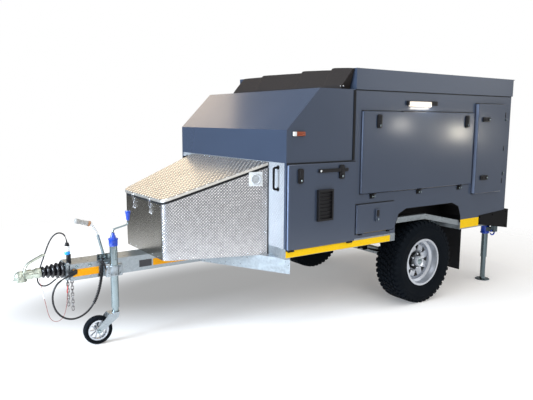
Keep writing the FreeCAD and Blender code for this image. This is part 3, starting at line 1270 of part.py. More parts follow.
def lead_brackets():
    """Lead gland, parked plug holder and the blue socket post, all on the drawbar."""
    x, y, z = LEAD_ROUTE[0]
    reach = GLAND_ARM_HALF_L
    gland = fused([rod(V(x, y, z), V(x, y, z + GLAND_L), GLAND_R),
                   box(x - reach, x + reach, DRAWBAR_HALF_W, y, z, z + GLAND_ARM_H)])
    end, out = end_direction(LEAD_ROUTE)
    seat = end + out * (PLUG_NECK_L + PLUG_L)
    x0, x1, low, high = HOLDER_ARM
    holder = fused([Part.makeCylinder(HOLDER_R, HOLDER_L, seat, out),
                    box(seat.x + x0, seat.x + x1, DRAWBAR_HALF_W, seat.y, seat.z + low, seat.z + high)])
    px, py, pz = CABLE_ROUTE[0]
    start, back = end_direction(CABLE_ROUTE[1::-1])
    boot = Part.makeCone(BOOT_R, CABLE_R + 1.5, BOOT_L, start + back * BOOT_L, back * -1)
    x0, x1, half = POST_FOOT
    post = fused([rod(V(px, py, pz + POST_Z[0]), V(px, py, pz + POST_Z[1]), POST_R),
                  box(px + x0, px + x1, py - half, py + half, DRAWBAR_TOP, pz + POST_Z[0] + 2), boot])
    return Part.makeCompound([gland, holder, post])


LEFT_AND_RIGHT = {
    "front_door": front_door_left, "front_fittings": front_fittings_left,
    "small_hatch": small_hatch_left,
    "big_hatch": big_hatch_left, "big_fittings": big_fittings_left,
    "rear_door": rear_door_left, "rear_fittings": rear_fittings_left,
    "tyre": tyre, "rim": rim, "steady_leg": steady_leg_left,
}

SINGLE = {
    "chassis_frame": chassis_frame, "drawbar": drawbar, "drawbar_struts": drawbar_struts,
    "axle_beam": axle_beam, "leaf_springs": leaf_springs, "body_floor": body_floor,
    "wheel_arches": wheel_arches, "cabin_sides": cabin_sides, "cabin_roof": cabin_roof,
    "rear_wall": rear_wall, "nose_cap": nose_cap, "nose_sides": nose_sides,
    "nose_front_wall": nose_front_wall, "roof_lid": roof_lid, "tent_cover": tent_cover,
    "tail_hatch": tail_hatch, "hinge_leaves": hinge_leaves,
    "toolbox": toolbox, "toolbox_seal": toolbox_seal, "toolbox_lid": toolbox_lid,
    "front_hardware": front_fittings, "coupling_housing": coupling_housing,
    "coupling_bellows": coupling_bellows, "coupling_head": coupling_head,
    "handbrake_lever": handbrake_lever, "jockey_tube": jockey_tube,
    "jockey_leg": jockey_leg, "jockey_fork": jockey_fork, "jockey_tyre": jockey_tyre,
    "jockey_rim": jockey_rim, "rear_bumper": rear_bumper, "lamps": lamps, "mud_flaps": mud_flaps,
    "steady_tubes": steady_tubes, "safety_chains": safety_chains, "lead_brackets": lead_brackets,
    "power_lead": power_lead, "power_plug": power_plug, "trailer_cable": trailer_cable,
    "breakaway_cable": breakaway_cable,
}


def export(name, shape):
    """Write one node, shifted so that the origin is under the middle of the overall length."""
    placed = shape.copy()
    placed.translate(V(-(NOSE_TIP + BUMPER_REAR) / 2, 0, 0))
    placed.exportStep("parts/" + name + ".step")


def main():
    """Build every node and write it."""
    for name, make in LEFT_AND_RIGHT.items():
        left = make()
        export(name + "_left", left)
        export(name + "_right", mirrored(left))
    for name, make in SINGLE.items():
        export(name, make())


main()
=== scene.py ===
import logging
import math
import random
from collections.abc import Callable, Iterator, Sequence
from contextlib import contextmanager
from dataclasses import dataclass, replace
from enum import Enum

import bmesh
import bpy
from mathutils import Matrix, Vector

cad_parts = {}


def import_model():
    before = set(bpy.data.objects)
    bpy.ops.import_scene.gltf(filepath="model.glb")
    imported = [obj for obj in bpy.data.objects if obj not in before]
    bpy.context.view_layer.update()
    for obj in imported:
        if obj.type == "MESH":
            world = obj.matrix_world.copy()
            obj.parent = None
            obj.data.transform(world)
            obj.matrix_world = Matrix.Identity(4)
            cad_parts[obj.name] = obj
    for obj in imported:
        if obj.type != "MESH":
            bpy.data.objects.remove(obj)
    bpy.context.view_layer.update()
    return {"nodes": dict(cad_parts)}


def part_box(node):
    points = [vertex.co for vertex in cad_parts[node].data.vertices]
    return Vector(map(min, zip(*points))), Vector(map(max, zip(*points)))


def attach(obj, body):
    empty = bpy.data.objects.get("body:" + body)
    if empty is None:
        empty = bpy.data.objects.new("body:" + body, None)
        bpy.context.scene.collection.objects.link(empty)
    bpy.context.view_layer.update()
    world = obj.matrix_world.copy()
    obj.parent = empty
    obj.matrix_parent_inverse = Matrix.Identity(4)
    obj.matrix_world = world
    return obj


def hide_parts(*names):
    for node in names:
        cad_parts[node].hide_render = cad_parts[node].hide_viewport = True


# Looks of the off-road camping trailer. Metres, +X forward to the coupling, +Y to the trailer's
# left, +Z up. Places are measured from the axle line, which lies at AXLE_X in the frame. Numbers
# written into the makers are sizes of single small pieces; shared sizes are fields or constants.

LOG = logging.getLogger("trailer")
AXLE_X = -1.0145
Point = tuple[float, float, float]
Test = Callable[[Vector, Vector], bool]
Obj = bpy.types.Object
Socket = bpy.types.NodeSocket
Colour = tuple[float, float, float]
DUST: Colour = (0.30, 0.26, 0.21)
# Painted reflection: the brownish grey laid over the box's front face, standing in for the dark ground that
# the face mirrors.
PAINTED_REFLECTION: Colour = (0.35, 0.33, 0.285)
COAT_ROUGH = 0.12
BEVEL_ANGLE = 30.0
SMOOTH_ANGLE = 40.0


def axle(x: float, y: float, z: float) -> Vector:
    """A point given from the axle line, in the frame."""
    return Vector((x + AXLE_X, y, z))


class Side(Enum):
    """Which side of the trailer a piece is on."""

    LEFT = 1
    RIGHT = -1

    @property
    def word(self) -> str:
        """The side's name as the nodes and bodies have it."""
        return self.name.lower()

    def span(self, inner: float, outer: float) -> list[float]:
        """Low and high y on this side between two distances from the middle plane."""
        return sorted((self.value * inner, self.value * outer))


# Node graphs

class Graph:
    """One node tree being wired."""

    def __init__(self, tree: bpy.types.NodeTree) -> None:
        """Work on this tree."""
        self.tree = tree

    def find(self, kind: str) -> bpy.types.Node:
        """The node of one type that the tree has from its start."""
        return next(node for node in self.tree.nodes if node.type == kind)

    def node(self, kind: str, **settings: object) -> bpy.types.Node:
        """Add a node.

        Args:
            kind: the node's Blender type, without its ShaderNode prefix.
            settings: values for the node's own properties.

        Returns:
            The new node.
        """
        made = self.tree.nodes.new("ShaderNode" + kind if not kind.startswith("Node") else kind)
        for key, value in settings.items():
            setattr(made, key, value)
        return made

    def put(self, node: bpy.types.Node, name: str | int, value: object) -> None:
        """Link a socket, or set the input's own value."""
        if isinstance(value, Socket):
            self.tree.links.new(value, node.inputs[name])
        else:
            node.inputs[name].default_value = value

    def math(self, operation: str, first: object, second: object = None, clamp: bool = False) -> Socket:
        """One step of arithmetic.

        Args:
            operation: the Math node's operation.
            first: a number or socket.
            second: a number or socket, where the operation takes one.
            clamp: keep the result between 0 and 1.

        Returns:
            The result's socket.
        """
        made = self.node("Math", operation=operation, use_clamp=clamp)
        self.put(made, 0, first)
        if second is not None:
            self.put(made, 1, second)
        return made.outputs[0]

    def vector(self, operation: str, first: object, second: object = None) -> Socket:
        """One step of vector arithmetic."""
        made = self.node("VectorMath", operation=operation)
        self.put(made, 0, first)
        if second is not None:
            self.put(made, 3 if operation == "SCALE" else 1, second)
        return made.outputs[0]

    def length(self, value: object) -> Socket:
        """A vector's length."""
        made = self.node("VectorMath", operation="LENGTH")
        self.put(made, 0, value)
        return made.outputs["Value"]

    def split(self, value: object) -> bpy.types.NodeOutputs:
        """A vector's three parts."""
        made = self.node("SeparateXYZ")
        self.put(made, 0, value)
        return made.outputs

    def spread(self, value: object, low: float, high: float, to_low: float, to_high: float,
               kind: str = "LINEAR") -> Socket:
        """Map a range of values onto another, clamped."""
        made = self.node("MapRange", interpolation_type=kind)
        for n, item in enumerate((value, low, high, to_low, to_high)):
            self.put(made, n, item)
        return made.outputs[0]

    def blend(self, factor: object, first: object, second: object) -> Socket:
        """Mix two colours."""
        made = self.node("Mix", data_type="RGBA")
        self.put(made, 0, factor)
        self.put(made, 6, first)
        self.put(made, 7, second)
        return made.outputs[2]

    def texture(self, kind: str, vector: object, scale: object, **settings: object) -> bpy.types.Node:
        """Add a texture node."""
        made = self.node("Tex" + kind, **settings)
        self.put(made, "Vector", vector)
        self.put(made, "Scale", scale)
        return made

    def noise(self, vector: object, scale: object, detail: float = 3.0) -> Socket:
        """Noise between 0 and 1."""
        made = self.texture("Noise", vector, scale)
        self.put(made, "Detail", detail)
        return made.outputs[0]


def rgba(colour: Sequence[float]) -> tuple[float, float, float, float]:
    """A colour with full alpha."""
    return (colour[0], colour[1], colour[2], 1.0)


def shaded(colour: Sequence[float], factor: float) -> tuple[float, float, float, float]:
    """A colour made darker or lighter, with full alpha."""
    return rgba([min(1.0, part * factor) for part in colour])


class Effects:
    """Shared shader node groups, each built once and placed in the materials that use it."""

    made: dict[str, bpy.types.NodeTree] = {}
    bar_half: float = 0.52
    bar_edge: float = 2.4

    @classmethod
    def group(cls, name: str, inputs: dict[str, str], outputs: dict[str, str]) -> Graph:
        """Start a node group.

        Args:
            name: the group's name.
            inputs: socket name to kind (Float, Vector or Color).
            outputs: the same, for what the group puts out.

        Returns:
            A graph on the new group, with its ends as .source and .sink.
        """
        tree = bpy.data.node_groups.new(name, "ShaderNodeTree")
        for direction, sockets in (("INPUT", inputs), ("OUTPUT", outputs)):
            for socket, kind in sockets.items():
                tree.interface.new_socket(socket, in_out=direction, socket_type="NodeSocket" + kind)
        graph = Graph(tree)
        graph.source = graph.node("NodeGroupInput").outputs
        graph.sink = graph.node("NodeGroupOutput")
        cls.made[name] = tree
        return graph

    @classmethod
    def build(cls) -> None:
        """Make every group."""
        cls.grain()
        cls.road_dust()
        cls.spangle()
        cls.tread_bars()
        cls.weave()

    @classmethod
    def grain(cls) -> None:
        """Fine and coarse unevenness of a surface."""
        g = cls.group("grain", {"Vector": "Vector", "Scale": "Float"}, {"Fine": "Float", "Coarse": "Float"})
        where, scale = g.source["Vector"], g.source["Scale"]
        g.put(g.sink, "Fine", g.noise(where, scale, 4.0))
        g.put(g.sink, "Coarse", g.noise(where, g.math("MULTIPLY", scale, 0.03), 2.0))

    @classmethod
    def road_dust(cls) -> None:
        """Thin dust that thickens towards the road."""
        g = cls.group("road_dust", {"Vector": "Vector", "Top": "Float", "Amount": "Float"},
                      {"Mask": "Float"})
        height = g.split(g.source["Vector"])["Z"]
        fall = g.math("SUBTRACT", 1.0, g.math("DIVIDE", height, g.source["Top"]), True)
        patch = g.spread(g.noise(g.source["Vector"], 7.0), 0.35, 0.7, 0.2, 1.0)
        mask = g.math("MULTIPLY", g.math("MULTIPLY", fall, patch), g.source["Amount"], True)
        g.put(g.sink, "Mask", mask)

    @classmethod
    def spangle(cls) -> None:
        """Zinc crystals, each cell a slightly different grey."""
        g = cls.group("spangle", {"Vector": "Vector", "Scale": "Float"}, {"Cell": "Float", "Soft": "Float"})
        shade = g.node("SeparateColor")
        g.put(shade, 0, g.texture("Voronoi", g.source["Vector"], g.source["Scale"]).outputs["Color"])
        g.put(g.sink, "Cell", shade.outputs[0])
        g.put(g.sink, "Soft", g.noise(g.source["Vector"], 5.0))

    @classmethod
    def tread_bars(cls) -> None:
        """Raised lozenges of tread plate, turned one way and the other in turn."""
        g = cls.group("tread_bars", {"Vector": "Vector", "Pitch": "Float", "Width": "Float"},
                      {"Bar": "Float"})
        scaled = g.vector("SCALE", g.source["Vector"], g.math("DIVIDE", 1.0, g.source["Pitch"]))
        masks = []
        for shift, long_first in ((0.0, True), (0.5, False)):
            moved = g.vector("ADD", scaled, (shift, shift, 0.0))
            x, y, _ = g.split(g.vector("SUBTRACT", g.vector("FRACTION", moved), (0.5, 0.5, 0.0)))
            a = g.math("ABSOLUTE", g.math("ADD", x, y))
            b = g.math("ABSOLUTE", g.math("SUBTRACT", x, y))
            along, across = (a, b) if long_first else (b, a)
            reach = g.math("ADD", g.math("DIVIDE", along, cls.bar_half),
                           g.math("DIVIDE", across, g.source["Width"]))
            masks.append(g.math("MULTIPLY", g.math("SUBTRACT", 1.0, reach), cls.bar_edge, True))
        g.put(g.sink, "Bar", g.math("MAXIMUM", masks[0], masks[1]))

    @classmethod
    def weave(cls) -> None:
        """Plain weave of a coated canvas."""
        g = cls.group("weave", {"Vector": "Vector", "Threads": "Float"}, {"Thread": "Float"})
        scaled = g.vector("SCALE", g.source["Vector"], g.source["Threads"])
        u, v, w = (g.math("SINE", part) for part in g.split(scaled))
        crossed = g.math("ADD", g.math("MULTIPLY", u, v), g.math("MULTIPLY", v, w))
        g.put(g.sink, "Thread", g.spread(crossed, -1.0, 1.0, 0.0, 1.0))


# Finishes

@dataclass(frozen=True)
class Finish:
    """A surface: its colour and how it takes the light."""

    name: str
    colour: Colour
    rough: float = 0.5
    metal: float = 0.0
    coat: float = 0.0
    grain: float = 260.0
    bump: float = 0.0002
    stain: float = 0.12
    dust: float = 0.0
    dust_top: float = 0.8
    slot: str = ""
    shine: float = 0.5

    def material(self) -> bpy.types.Material:
        """Make the material with its own nodes.

        Returns:
            The new material.
        """
        made = bpy.data.materials.new(self.name)
        made.use_nodes = True
        graph = Graph(made.node_tree)
        shader = graph.find("BSDF_PRINCIPLED")
        where = graph.node("TexCoord").outputs["Object"]
        graph.put(shader, "Metallic", self.metal)
        graph.put(shader, "Coat Weight", self.coat)
        graph.put(shader, "Coat Roughness", COAT_ROUGH)
        graph.put(shader, "Specular IOR Level", self.shine)
        self.wire(graph, shader, where)
        return made

    def group(self, graph: Graph, name: str, **values: object) -> bpy.types.NodeOutputs:
        """Place a shared effect in this material."""
        made = graph.node("Group", node_tree=Effects.made[name])
        for socket, value in values.items():
            graph.put(made, socket, value)
        return made.outputs

    def dusted(self, graph: Graph, where: object, base: object) -> object:
        """The base colour under this finish's road dust."""
        if self.dust == 0.0:
            return base
        mask = self.group(graph, "road_dust", Vector=where, Top=self.dust_top, Amount=self.dust)["Mask"]
        return graph.blend(mask, base, rgba(DUST))

    def raised(self, graph: Graph, shader: bpy.types.Node, height: object, distance: float) -> None:
        """Feed a height into the shader's normal."""
        made = graph.node("Bump")
        graph.put(made, "Distance", distance)
        graph.put(made, "Height", height)
        graph.put(shader, "Normal", made.outputs[0])

    def wire(self, graph: Graph, shader: bpy.types.Node, where: object) -> None:
        """Stained colour, uneven gloss and a fine grain."""
        grain = self.group(graph, "grain", Vector=where, Scale=self.grain)
        cloud = graph.spread(grain["Coarse"], 0.1, 0.9, 0.0, 1.0)
        base = graph.blend(cloud, shaded(self.colour, 1 - self.stain), shaded(self.colour, 1 + self.stain))
        graph.put(shader, "Base Color", self.dusted(graph, where, base))
        rough = graph.spread(grain["Coarse"], 0.1, 0.9, self.rough * 0.8, min(1.0, self.rough * 1.2))
        graph.put(shader, "Roughness", rough)
        self.raised(graph, shader, grain["Fine"], self.bump)


@dataclass(frozen=True)
class Zinc(Finish):
    """Hot-dip galvanised steel with its crystals."""

    crystal: float = 60.0
    contrast: float = 0.16

    def wire(self, graph: Graph, shader: bpy.types.Node, where: object) -> None:
        """Crystals shade the colour and the gloss."""
        zinc = self.group(graph, "spangle", Vector=where, Scale=self.crystal)
        mixed = graph.math("ADD", graph.math("MULTIPLY", zinc["Cell"], 0.6),
                           graph.math("MULTIPLY", zinc["Soft"], 0.4))
        base = graph.blend(mixed, shaded(self.colour, 1 - self.contrast),
                           shaded(self.colour, 1 + self.contrast))
        graph.put(shader, "Base Color", self.dusted(graph, where, base))
        rough = graph.spread(zinc["Cell"], 0.0, 1.0, self.rough * 0.75, self.rough * 1.2)
        graph.put(shader, "Roughness", rough)
        grain = self.group(graph, "grain", Vector=where, Scale=self.grain)
        self.raised(graph, shader, grain["Fine"], self.bump)


class PlateFace(Enum):
    """The plane that a tread plate lies in: how x, |y|, y and z make its pattern's two axes."""

    BOX_WALLS = ((0.737, -1.0, 0.0, 0.0), (0.0, 0.0, 0.0, 1.0))
    LID = ((1.0, 0.0, 0.0, 0.0), (0.0, 0.0, 1.0, 0.0))
    FRONT = ((0.0, 0.0, 1.0, 0.0), (0.0, 0.0, 0.0, 1.0))


@dataclass(frozen=True)
class TreadPlate(Finish):
    """Bright aluminium sheet with raised bars."""

    face: PlateFace = PlateFace.LID
    pitch: float = 0.032
    height: float = 0.0016
    # How dark the painted shade on the ground between the bars is, as a share of the colour.
    depth: float = 0.8
    width: float = 0.22
    blotch: float = 4.0
    plane: tuple[float, float] | None = None
    # From this x forward the plate gets the painted reflection; 9.0 keeps it off.
    grime_x: float = 9.0

    def wire(self, graph: Graph, shader: bpy.types.Node, where: object) -> None:
        """Bars stand up and shine; the ground between them is duller and painted darker, and the bars painted
        lighter.
        """
        x, y, z = graph.split(where)
        terms = (x, graph.math("ABSOLUTE", y), y, z)
        axes = []
        for weights in self.face.value:
            total = None
            for weight, term in zip(weights, terms):
                if weight:
                    step = graph.math("MULTIPLY", term, weight)
                    total = step if total is None else graph.math("ADD", total, step)
            axes.append(total)
        flat = graph.node("CombineXYZ")
        graph.put(flat, 0, axes[0])
        graph.put(flat, 1, axes[1])
        bar = self.group(graph, "tread_bars", Vector=flat.outputs[0], Pitch=self.pitch,
                         Width=self.width)["Bar"]
        # Painted shade and highlight: the ground between the bars is darkened by depth, with random blotches
        # in it, and the bars are painted lighter, standing in for the way the raised bars catch the light.
        cloud = graph.noise(where, self.blotch)
        mottled = graph.blend(graph.spread(cloud, 0.35, 0.65, 0.0, 1.0),
                           shaded(self.colour, self.depth * 0.8), shaded(self.colour, self.depth))
        if self.plane:
            slope, rise = self.plane
            level = graph.math("ADD", graph.math("MULTIPLY", x, slope), rise)
            on_top = graph.spread(graph.math("SUBTRACT", z, level), -0.008, -0.003, 0.0, 1.0)
            bar = graph.math("MULTIPLY", bar, on_top)
            mottled = graph.blend(on_top, rgba(self.colour), mottled)
        bright = graph.blend(bar, mottled, shaded(self.colour, 1.2))
        # Painted reflection: beyond the given x, on the box's front face, the colour turns to a streaked
        # brownish grey, standing in for the dark surroundings that the face mirrors.
        streak = graph.noise(graph.vector("MULTIPLY", where, (1.0, 60.0, 4.0)), 1.0)
        film = graph.spread(x, self.grime_x - 0.006, self.grime_x, 0.0, 1.0)
        film = graph.math("MULTIPLY", film, graph.spread(streak, 0.3, 0.7, 0.8, 1.0))
        bright = graph.blend(film, bright, rgba(PAINTED_REFLECTION))
        graph.put(shader, "Base Color", self.dusted(graph, where, bright))
        graph.put(shader, "Roughness", graph.spread(bar, 0.0, 1.0, self.rough, self.rough * 0.6))
        self.raised(graph, shader, bar, self.height)


@dataclass(frozen=True)
class Canvas(Finish):
    """Coated canvas."""

    threads: float = 2600.0

    def wire(self, graph: Graph, shader: bpy.types.Node, where: object) -> None:
        """Woven surface with soft worn patches."""
        thread = self.group(graph, "weave", Vector=where, Threads=self.threads)["Thread"]
        grain = self.group(graph, "grain", Vector=where, Scale=self.grain)
        dark = shaded(self.colour, 0.7)
        mottled = graph.blend(grain["Coarse"], dark, shaded(self.colour, 1.3))
        graph.put(shader, "Base Color", graph.blend(graph.math("MULTIPLY", thread, 0.5), mottled, dark))
        graph.put(shader, "Roughness", graph.spread(thread, 0.0, 1.0, self.rough, self.rough * 0.85))
        self.raised(graph, shader, thread, self.bump)


@dataclass(frozen=True)
class Lens(Finish):
    """Lamp lens over a reflector, faintly ribbed, lit where its glow is above zero."""

    glow: float = 0.0
    ribs: float = 21.0

    def wire(self, graph: Graph, shader: bpy.types.Node, where: object) -> None:
        """Ribs across the lens."""
        wave = graph.texture("Wave", where, self.ribs, bands_direction="X")
        base = graph.blend(wave.outputs[1], shaded(self.colour, 0.8), rgba(self.colour))
        graph.put(shader, "Base Color", base)
        graph.put(shader, "Roughness", self.rough)
        if self.glow:
            graph.put(shader, "Emission Color", rgba(self.colour))
            graph.put(shader, "Emission Strength", self.glow)
        self.raised(graph, shader, wave.outputs[1], self.bump)


@dataclass(frozen=True)
class Reflective(Finish):
    """Reflective tape with a fine honeycomb under its film."""

    cell: float = 260.0

    def wire(self, graph: Graph, shader: bpy.types.Node, where: object) -> None:
        """Cells shade the tape's colour."""
        comb = graph.texture("Voronoi", where, self.cell, feature="DISTANCE_TO_EDGE")
        edge = graph.spread(comb.outputs[0], 0.0, 0.12, 0.0, 1.0)
        base = graph.blend(edge, shaded(self.colour, 0.72), rgba(self.colour))
        graph.put(shader, "Base Color", self.dusted(graph, where, base))
        graph.put(shader, "Roughness", graph.spread(edge, 0.0, 1.0, self.rough * 1.2, self.rough))
        self.raised(graph, shader, edge, self.bump)


PAINT = Finish("body_paint", (0.043, 0.060, 0.098), rough=0.2, metal=0.12, coat=0.5, grain=60.0,
               bump=0.00003, stain=0.05, dust=0.03)
GALVANISED = Zinc("galvanised", (0.33, 0.37, 0.40), rough=0.36, metal=0.9, bump=0.0003, dust=0.06)
BRIGHT_ZINC = Zinc("bright_zinc", (0.27, 0.33, 0.35), rough=0.14, metal=0.95, crystal=34.0,
                   contrast=0.08, slot="galvanised")
# Painted shade: a darker copy of the bright zinc for the steadies, which stand in the shadow under the body.
SHADED_STEADY_ZINC = replace(BRIGHT_ZINC, name="steady_zinc", colour=(0.13, 0.17, 0.19), rough=0.17)
YELLOW_ZINC = Zinc("zinc", (0.46, 0.50, 0.43), rough=0.34, metal=0.85, crystal=90.0, contrast=0.25)
CHAIN_ZINC = Zinc("chain", (0.26, 0.25, 0.25), rough=0.34, metal=0.95, crystal=160.0)
# The box's front face, from x 1.3712 on, carries the painted reflection.
BOX_PLATE = TreadPlate("chequer_aluminium", (0.92, 0.93, 0.98), rough=0.27, metal=1.0,
                       face=PlateFace.BOX_WALLS, pitch=0.024, dust=0.03, height=0.0003, depth=0.6,
                       blotch=26.0, grime_x=1.3712)
LID_PLATE = TreadPlate("chequer_lid", (0.88, 0.85, 0.80), rough=0.28, metal=0.85, pitch=0.050,
                       height=0.003, depth=0.42, width=0.36, plane=(-0.34211, 1.5692),
                       slot="chequer_aluminium")
FRONT_PLATE = TreadPlate("chequer_front", (0.52, 0.55, 0.59), rough=0.42, metal=0.4,
                         face=PlateFace.FRONT, slot="chequer_aluminium", depth=0.75)
BLACK_STEEL = Finish("black_steel", (0.003, 0.003, 0.004), grain=700.0, dust=0.01, shine=0.12)
BLACK_PLASTIC = Finish("black_plastic", (0.008, 0.008, 0.010), rough=0.48, grain=900.0, shine=0.3)
RUBBER = Finish("rubber", (0.007, 0.008, 0.010), rough=0.55, grain=500.0, dust=0.02, shine=0.25)
GLOSS_RUBBER = Finish("gaiter_rubber", (0.006, 0.006, 0.009), rough=0.22, coat=0.2, grain=300.0,
                      slot="rubber")
TYRE_RUBBER = Finish("tyre", (0.004, 0.006, 0.009), rough=0.65, grain=420.0, bump=0.0004, stain=0.2,
                     dust=0.006, dust_top=0.9, shine=0.04)
WHEEL_SILVER = Finish("wheel_silver", (0.54, 0.57, 0.62), rough=0.30, metal=0.75, coat=0.2,
                      grain=600.0, bump=0.0001, stain=0.06, dust=0.03)
CHROME = Finish("chrome", (0.66, 0.68, 0.71), rough=0.14, metal=1.0, grain=300.0, bump=0.00002,
                stain=0.03, slot="galvanised")
PLYWOOD = Finish("plywood", (0.34, 0.24, 0.14), rough=0.6, grain=90.0, bump=0.0004, stain=0.2)
COVER = Canvas("cover_fabric", (0.020, 0.016, 0.015), rough=0.78, grain=60.0, bump=0.0004, shine=0.25)
AMBER_LAMP = Lens("lamp", (0.26, 0.045, 0.010), rough=0.18, coat=0.3, bump=0.0005)
RED_LAMP = Lens("lamp_red", (0.40, 0.008, 0.008), rough=0.16, coat=0.5, bump=0.0005, slot="lamp")
WHITE_LAMP = Lens("lamp_white", (1.0, 0.90, 0.78), rough=0.3, bump=0.0003, glow=0.3, slot="lamp")
LEAD_SHEATH = Finish("lead_rubber", (0.007, 0.007, 0.009), rough=0.38, grain=700.0)
RED_WIRE = Finish("red_cable", (0.24, 0.05, 0.04), rough=0.4, coat=0.3, grain=800.0)
BLUE = Finish("blue_plastic", (0.003, 0.045, 0.42), rough=0.32, coat=0.2, grain=500.0, bump=0.0001,
              stain=0.06)
LIGHT_BLUE = Finish("light_blue_plastic", (0.01, 0.28, 0.78), rough=0.3, coat=0.2, grain=500.0,
                    bump=0.0001, slot="blue_plastic")
CLEAR_WHITE = Finish("clear_plastic", (0.70, 0.73, 0.74), rough=0.2, coat=0.4, grain=300.0,
                     bump=0.0001, stain=0.05, slot="lamp")
GREY_GRIP = Finish("grey_grip", (0.30, 0.30, 0.29), rough=0.6, grain=120.0, bump=0.0012, stain=0.3,
                   slot="black_plastic")
COPPER_RING = Finish("copper_ring", (0.36, 0.19, 0.10), rough=0.34, metal=0.6, grain=300.0, slot="zinc")
RED_SLEEVE = Finish("red_sleeve", (0.55, 0.04, 0.03), rough=0.35, coat=0.2, grain=500.0, bump=0.0001,
                    slot="red_cable")
VENT_CLEAR = Finish("vent_clear", (0.56, 0.59, 0.62), rough=0.2, metal=0.2, coat=0.4, grain=300.0,
                    bump=0.0001, slot="lamp")
DARK_PLATE = Finish("dark_plate", (0.035, 0.035, 0.04), rough=0.35, metal=0.3, grain=120.0, stain=0.5,
                    slot="black_plastic")
# Painted highlight: a paler blue for the thin strips on the pans' front edges, where the rounded folds would
# catch the light.
PAINTED_EDGE_HIGHLIGHT = Finish("edge_paint", (0.20, 0.26, 0.40), rough=0.25, metal=0.1, coat=0.5, grain=60.0,
                    stain=0.05, slot="body_paint")
ORANGE_TAPE = Reflective("orange_tape", (0.95, 0.40, 0.0), rough=0.45, bump=0.0001, slot="lamp",
                         shine=0.2)
YELLOW_TAPE = replace(ORANGE_TAPE, name="yellow_tape", colour=(0.95, 0.60, 0.0))

NODE_FINISHES = {
    PAINT: ("cabin_sides", "cabin_roof", "rear_wall", "nose_cap", "nose_sides", "tail_hatch", "roof_lid",
            "front_door_left", "front_door_right", "small_hatch_left", "small_hatch_right", "big_hatch_left",
            "big_hatch_right", "rear_door_left", "rear_door_right"),
    GALVANISED: ("chassis_frame", "drawbar", "drawbar_struts", "axle_beam", "coupling_housing",
                 "jockey_fork"),
    SHADED_STEADY_ZINC: ("steady_tubes", "steady_leg_left", "steady_leg_right"),
    BRIGHT_ZINC: ("jockey_tube", "jockey_leg", "handbrake_lever"),
    YELLOW_ZINC: ("coupling_head",),
    CHAIN_ZINC: ("safety_chains",),
    BOX_PLATE: ("toolbox",),
    LID_PLATE: ("toolbox_lid",),
    FRONT_PLATE: ("nose_front_wall",),
    BLACK_STEEL: ("leaf_springs", "wheel_arches", "hinge_leaves", "rear_bumper"),
    BLACK_PLASTIC: ("front_fittings_left", "front_fittings_right", "big_fittings_left", "big_fittings_right",
                    "rear_fittings_left", "rear_fittings_right", "power_plug", "lead_brackets"),
    RUBBER: ("toolbox_seal", "mud_flaps"),
    GLOSS_RUBBER: ("coupling_bellows",),
    TYRE_RUBBER: ("tyre_left", "tyre_right", "jockey_tyre"),
    WHEEL_SILVER: ("rim_left", "rim_right", "jockey_rim"),
    PLYWOOD: ("body_floor",),
    COVER: ("tent_cover",),
    AMBER_LAMP: ("lamps",),
    LEAD_SHEATH: ("power_lead", "trailer_cable"),
    RED_WIRE: ("breakaway_cable",),
}


class Shop:
    """Where pieces get their finish and are fixed to their body."""

    materials: dict[str, bpy.types.Material] = {}

    @classmethod
    def coat(cls, obj: Obj, finish: Finish) -> Obj:
        """Give an object one finish all over, mixed at its first use."""
        if finish.name not in cls.materials:
            cls.materials[finish.name] = finish.material()
        obj.data.materials.clear()
        obj.data.materials.append(cls.materials[finish.name])
        return obj

    @classmethod
    def fit(cls, obj: Obj, finish: Finish, body: str = "trailer") -> Obj:
        """Finish a piece and fix it to its body.

        Args:
            obj: the piece, with its place in its mesh.
            finish: its surface.
            body: the CAD body that carries it.

        Returns:
            The same piece.
        """
        cls.coat(obj, finish)
        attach(obj, body)
        return obj


# Modelling bench

def focus(*objs: Obj) -> None:
    """Select these objects alone, the first one active."""
    if bpy.context.mode != "OBJECT":
        bpy.ops.object.mode_set(mode="OBJECT")
    bpy.ops.object.select_all(action="DESELECT")
    for obj in objs:
        obj.select_set(True)
    bpy.context.view_layer.objects.active = objs[0] if objs else None


@contextmanager
def editing(obj: Obj, mode: str = "FACE") -> Iterator[bmesh.types.BMesh]:
    """Edit mode on one object with nothing selected."""
    focus(obj)
    bpy.ops.object.mode_set(mode="EDIT")
    bpy.ops.mesh.select_mode(type=mode)
    bpy.ops.mesh.select_all(action="DESELECT")
    yield bmesh.from_edit_mesh(obj.data)
    bpy.ops.object.mode_set(mode="OBJECT")


def labelled(obj: Obj, name: str) -> Obj:
    """The object, with its name on its mesh too."""
    obj.name = name
    obj.data.name = name
    return obj


def named(name: str) -> Obj:
    """The active object, renamed, with its place moved into its mesh."""
    obj = labelled(bpy.context.object, name)
    bpy.ops.object.transform_apply(location=True, rotation=True, scale=True)
    return obj


def block(name: str, low: Sequence[float], high: Sequence[float]) -> Obj:
    """A block between two corners."""
    low, high = Vector(low), Vector(high)
    focus()
    bpy.ops.mesh.primitive_cube_add(size=1, location=(low + high) / 2, scale=high - low)
    return named(name)


def rod(name: str, start: Sequence[float], end: Sequence[float], radius: float, sides: int = 24) -> Obj:
    """A round bar from one point to another."""
    start, end = Vector(start), Vector(end)
    run = end - start
    focus()
    bpy.ops.mesh.primitive_cone_add(vertices=sides, radius1=radius, radius2=radius, depth=run.length,
                                    location=(start + end) / 2,
                                    rotation=run.to_track_quat("Z", "Y").to_euler())
    return named(name)


def pick(obj: Obj, test: Test) -> None:
    """Select the faces whose middle and normal pass a test, in edit mode."""
    mesh = bmesh.from_edit_mesh(obj.data)
    for face in mesh.faces:
        face.select_set(bool(test(face.calc_center_median(), face.normal)))
    mesh.select_flush_mode()
    bmesh.update_edit_mesh(obj.data)


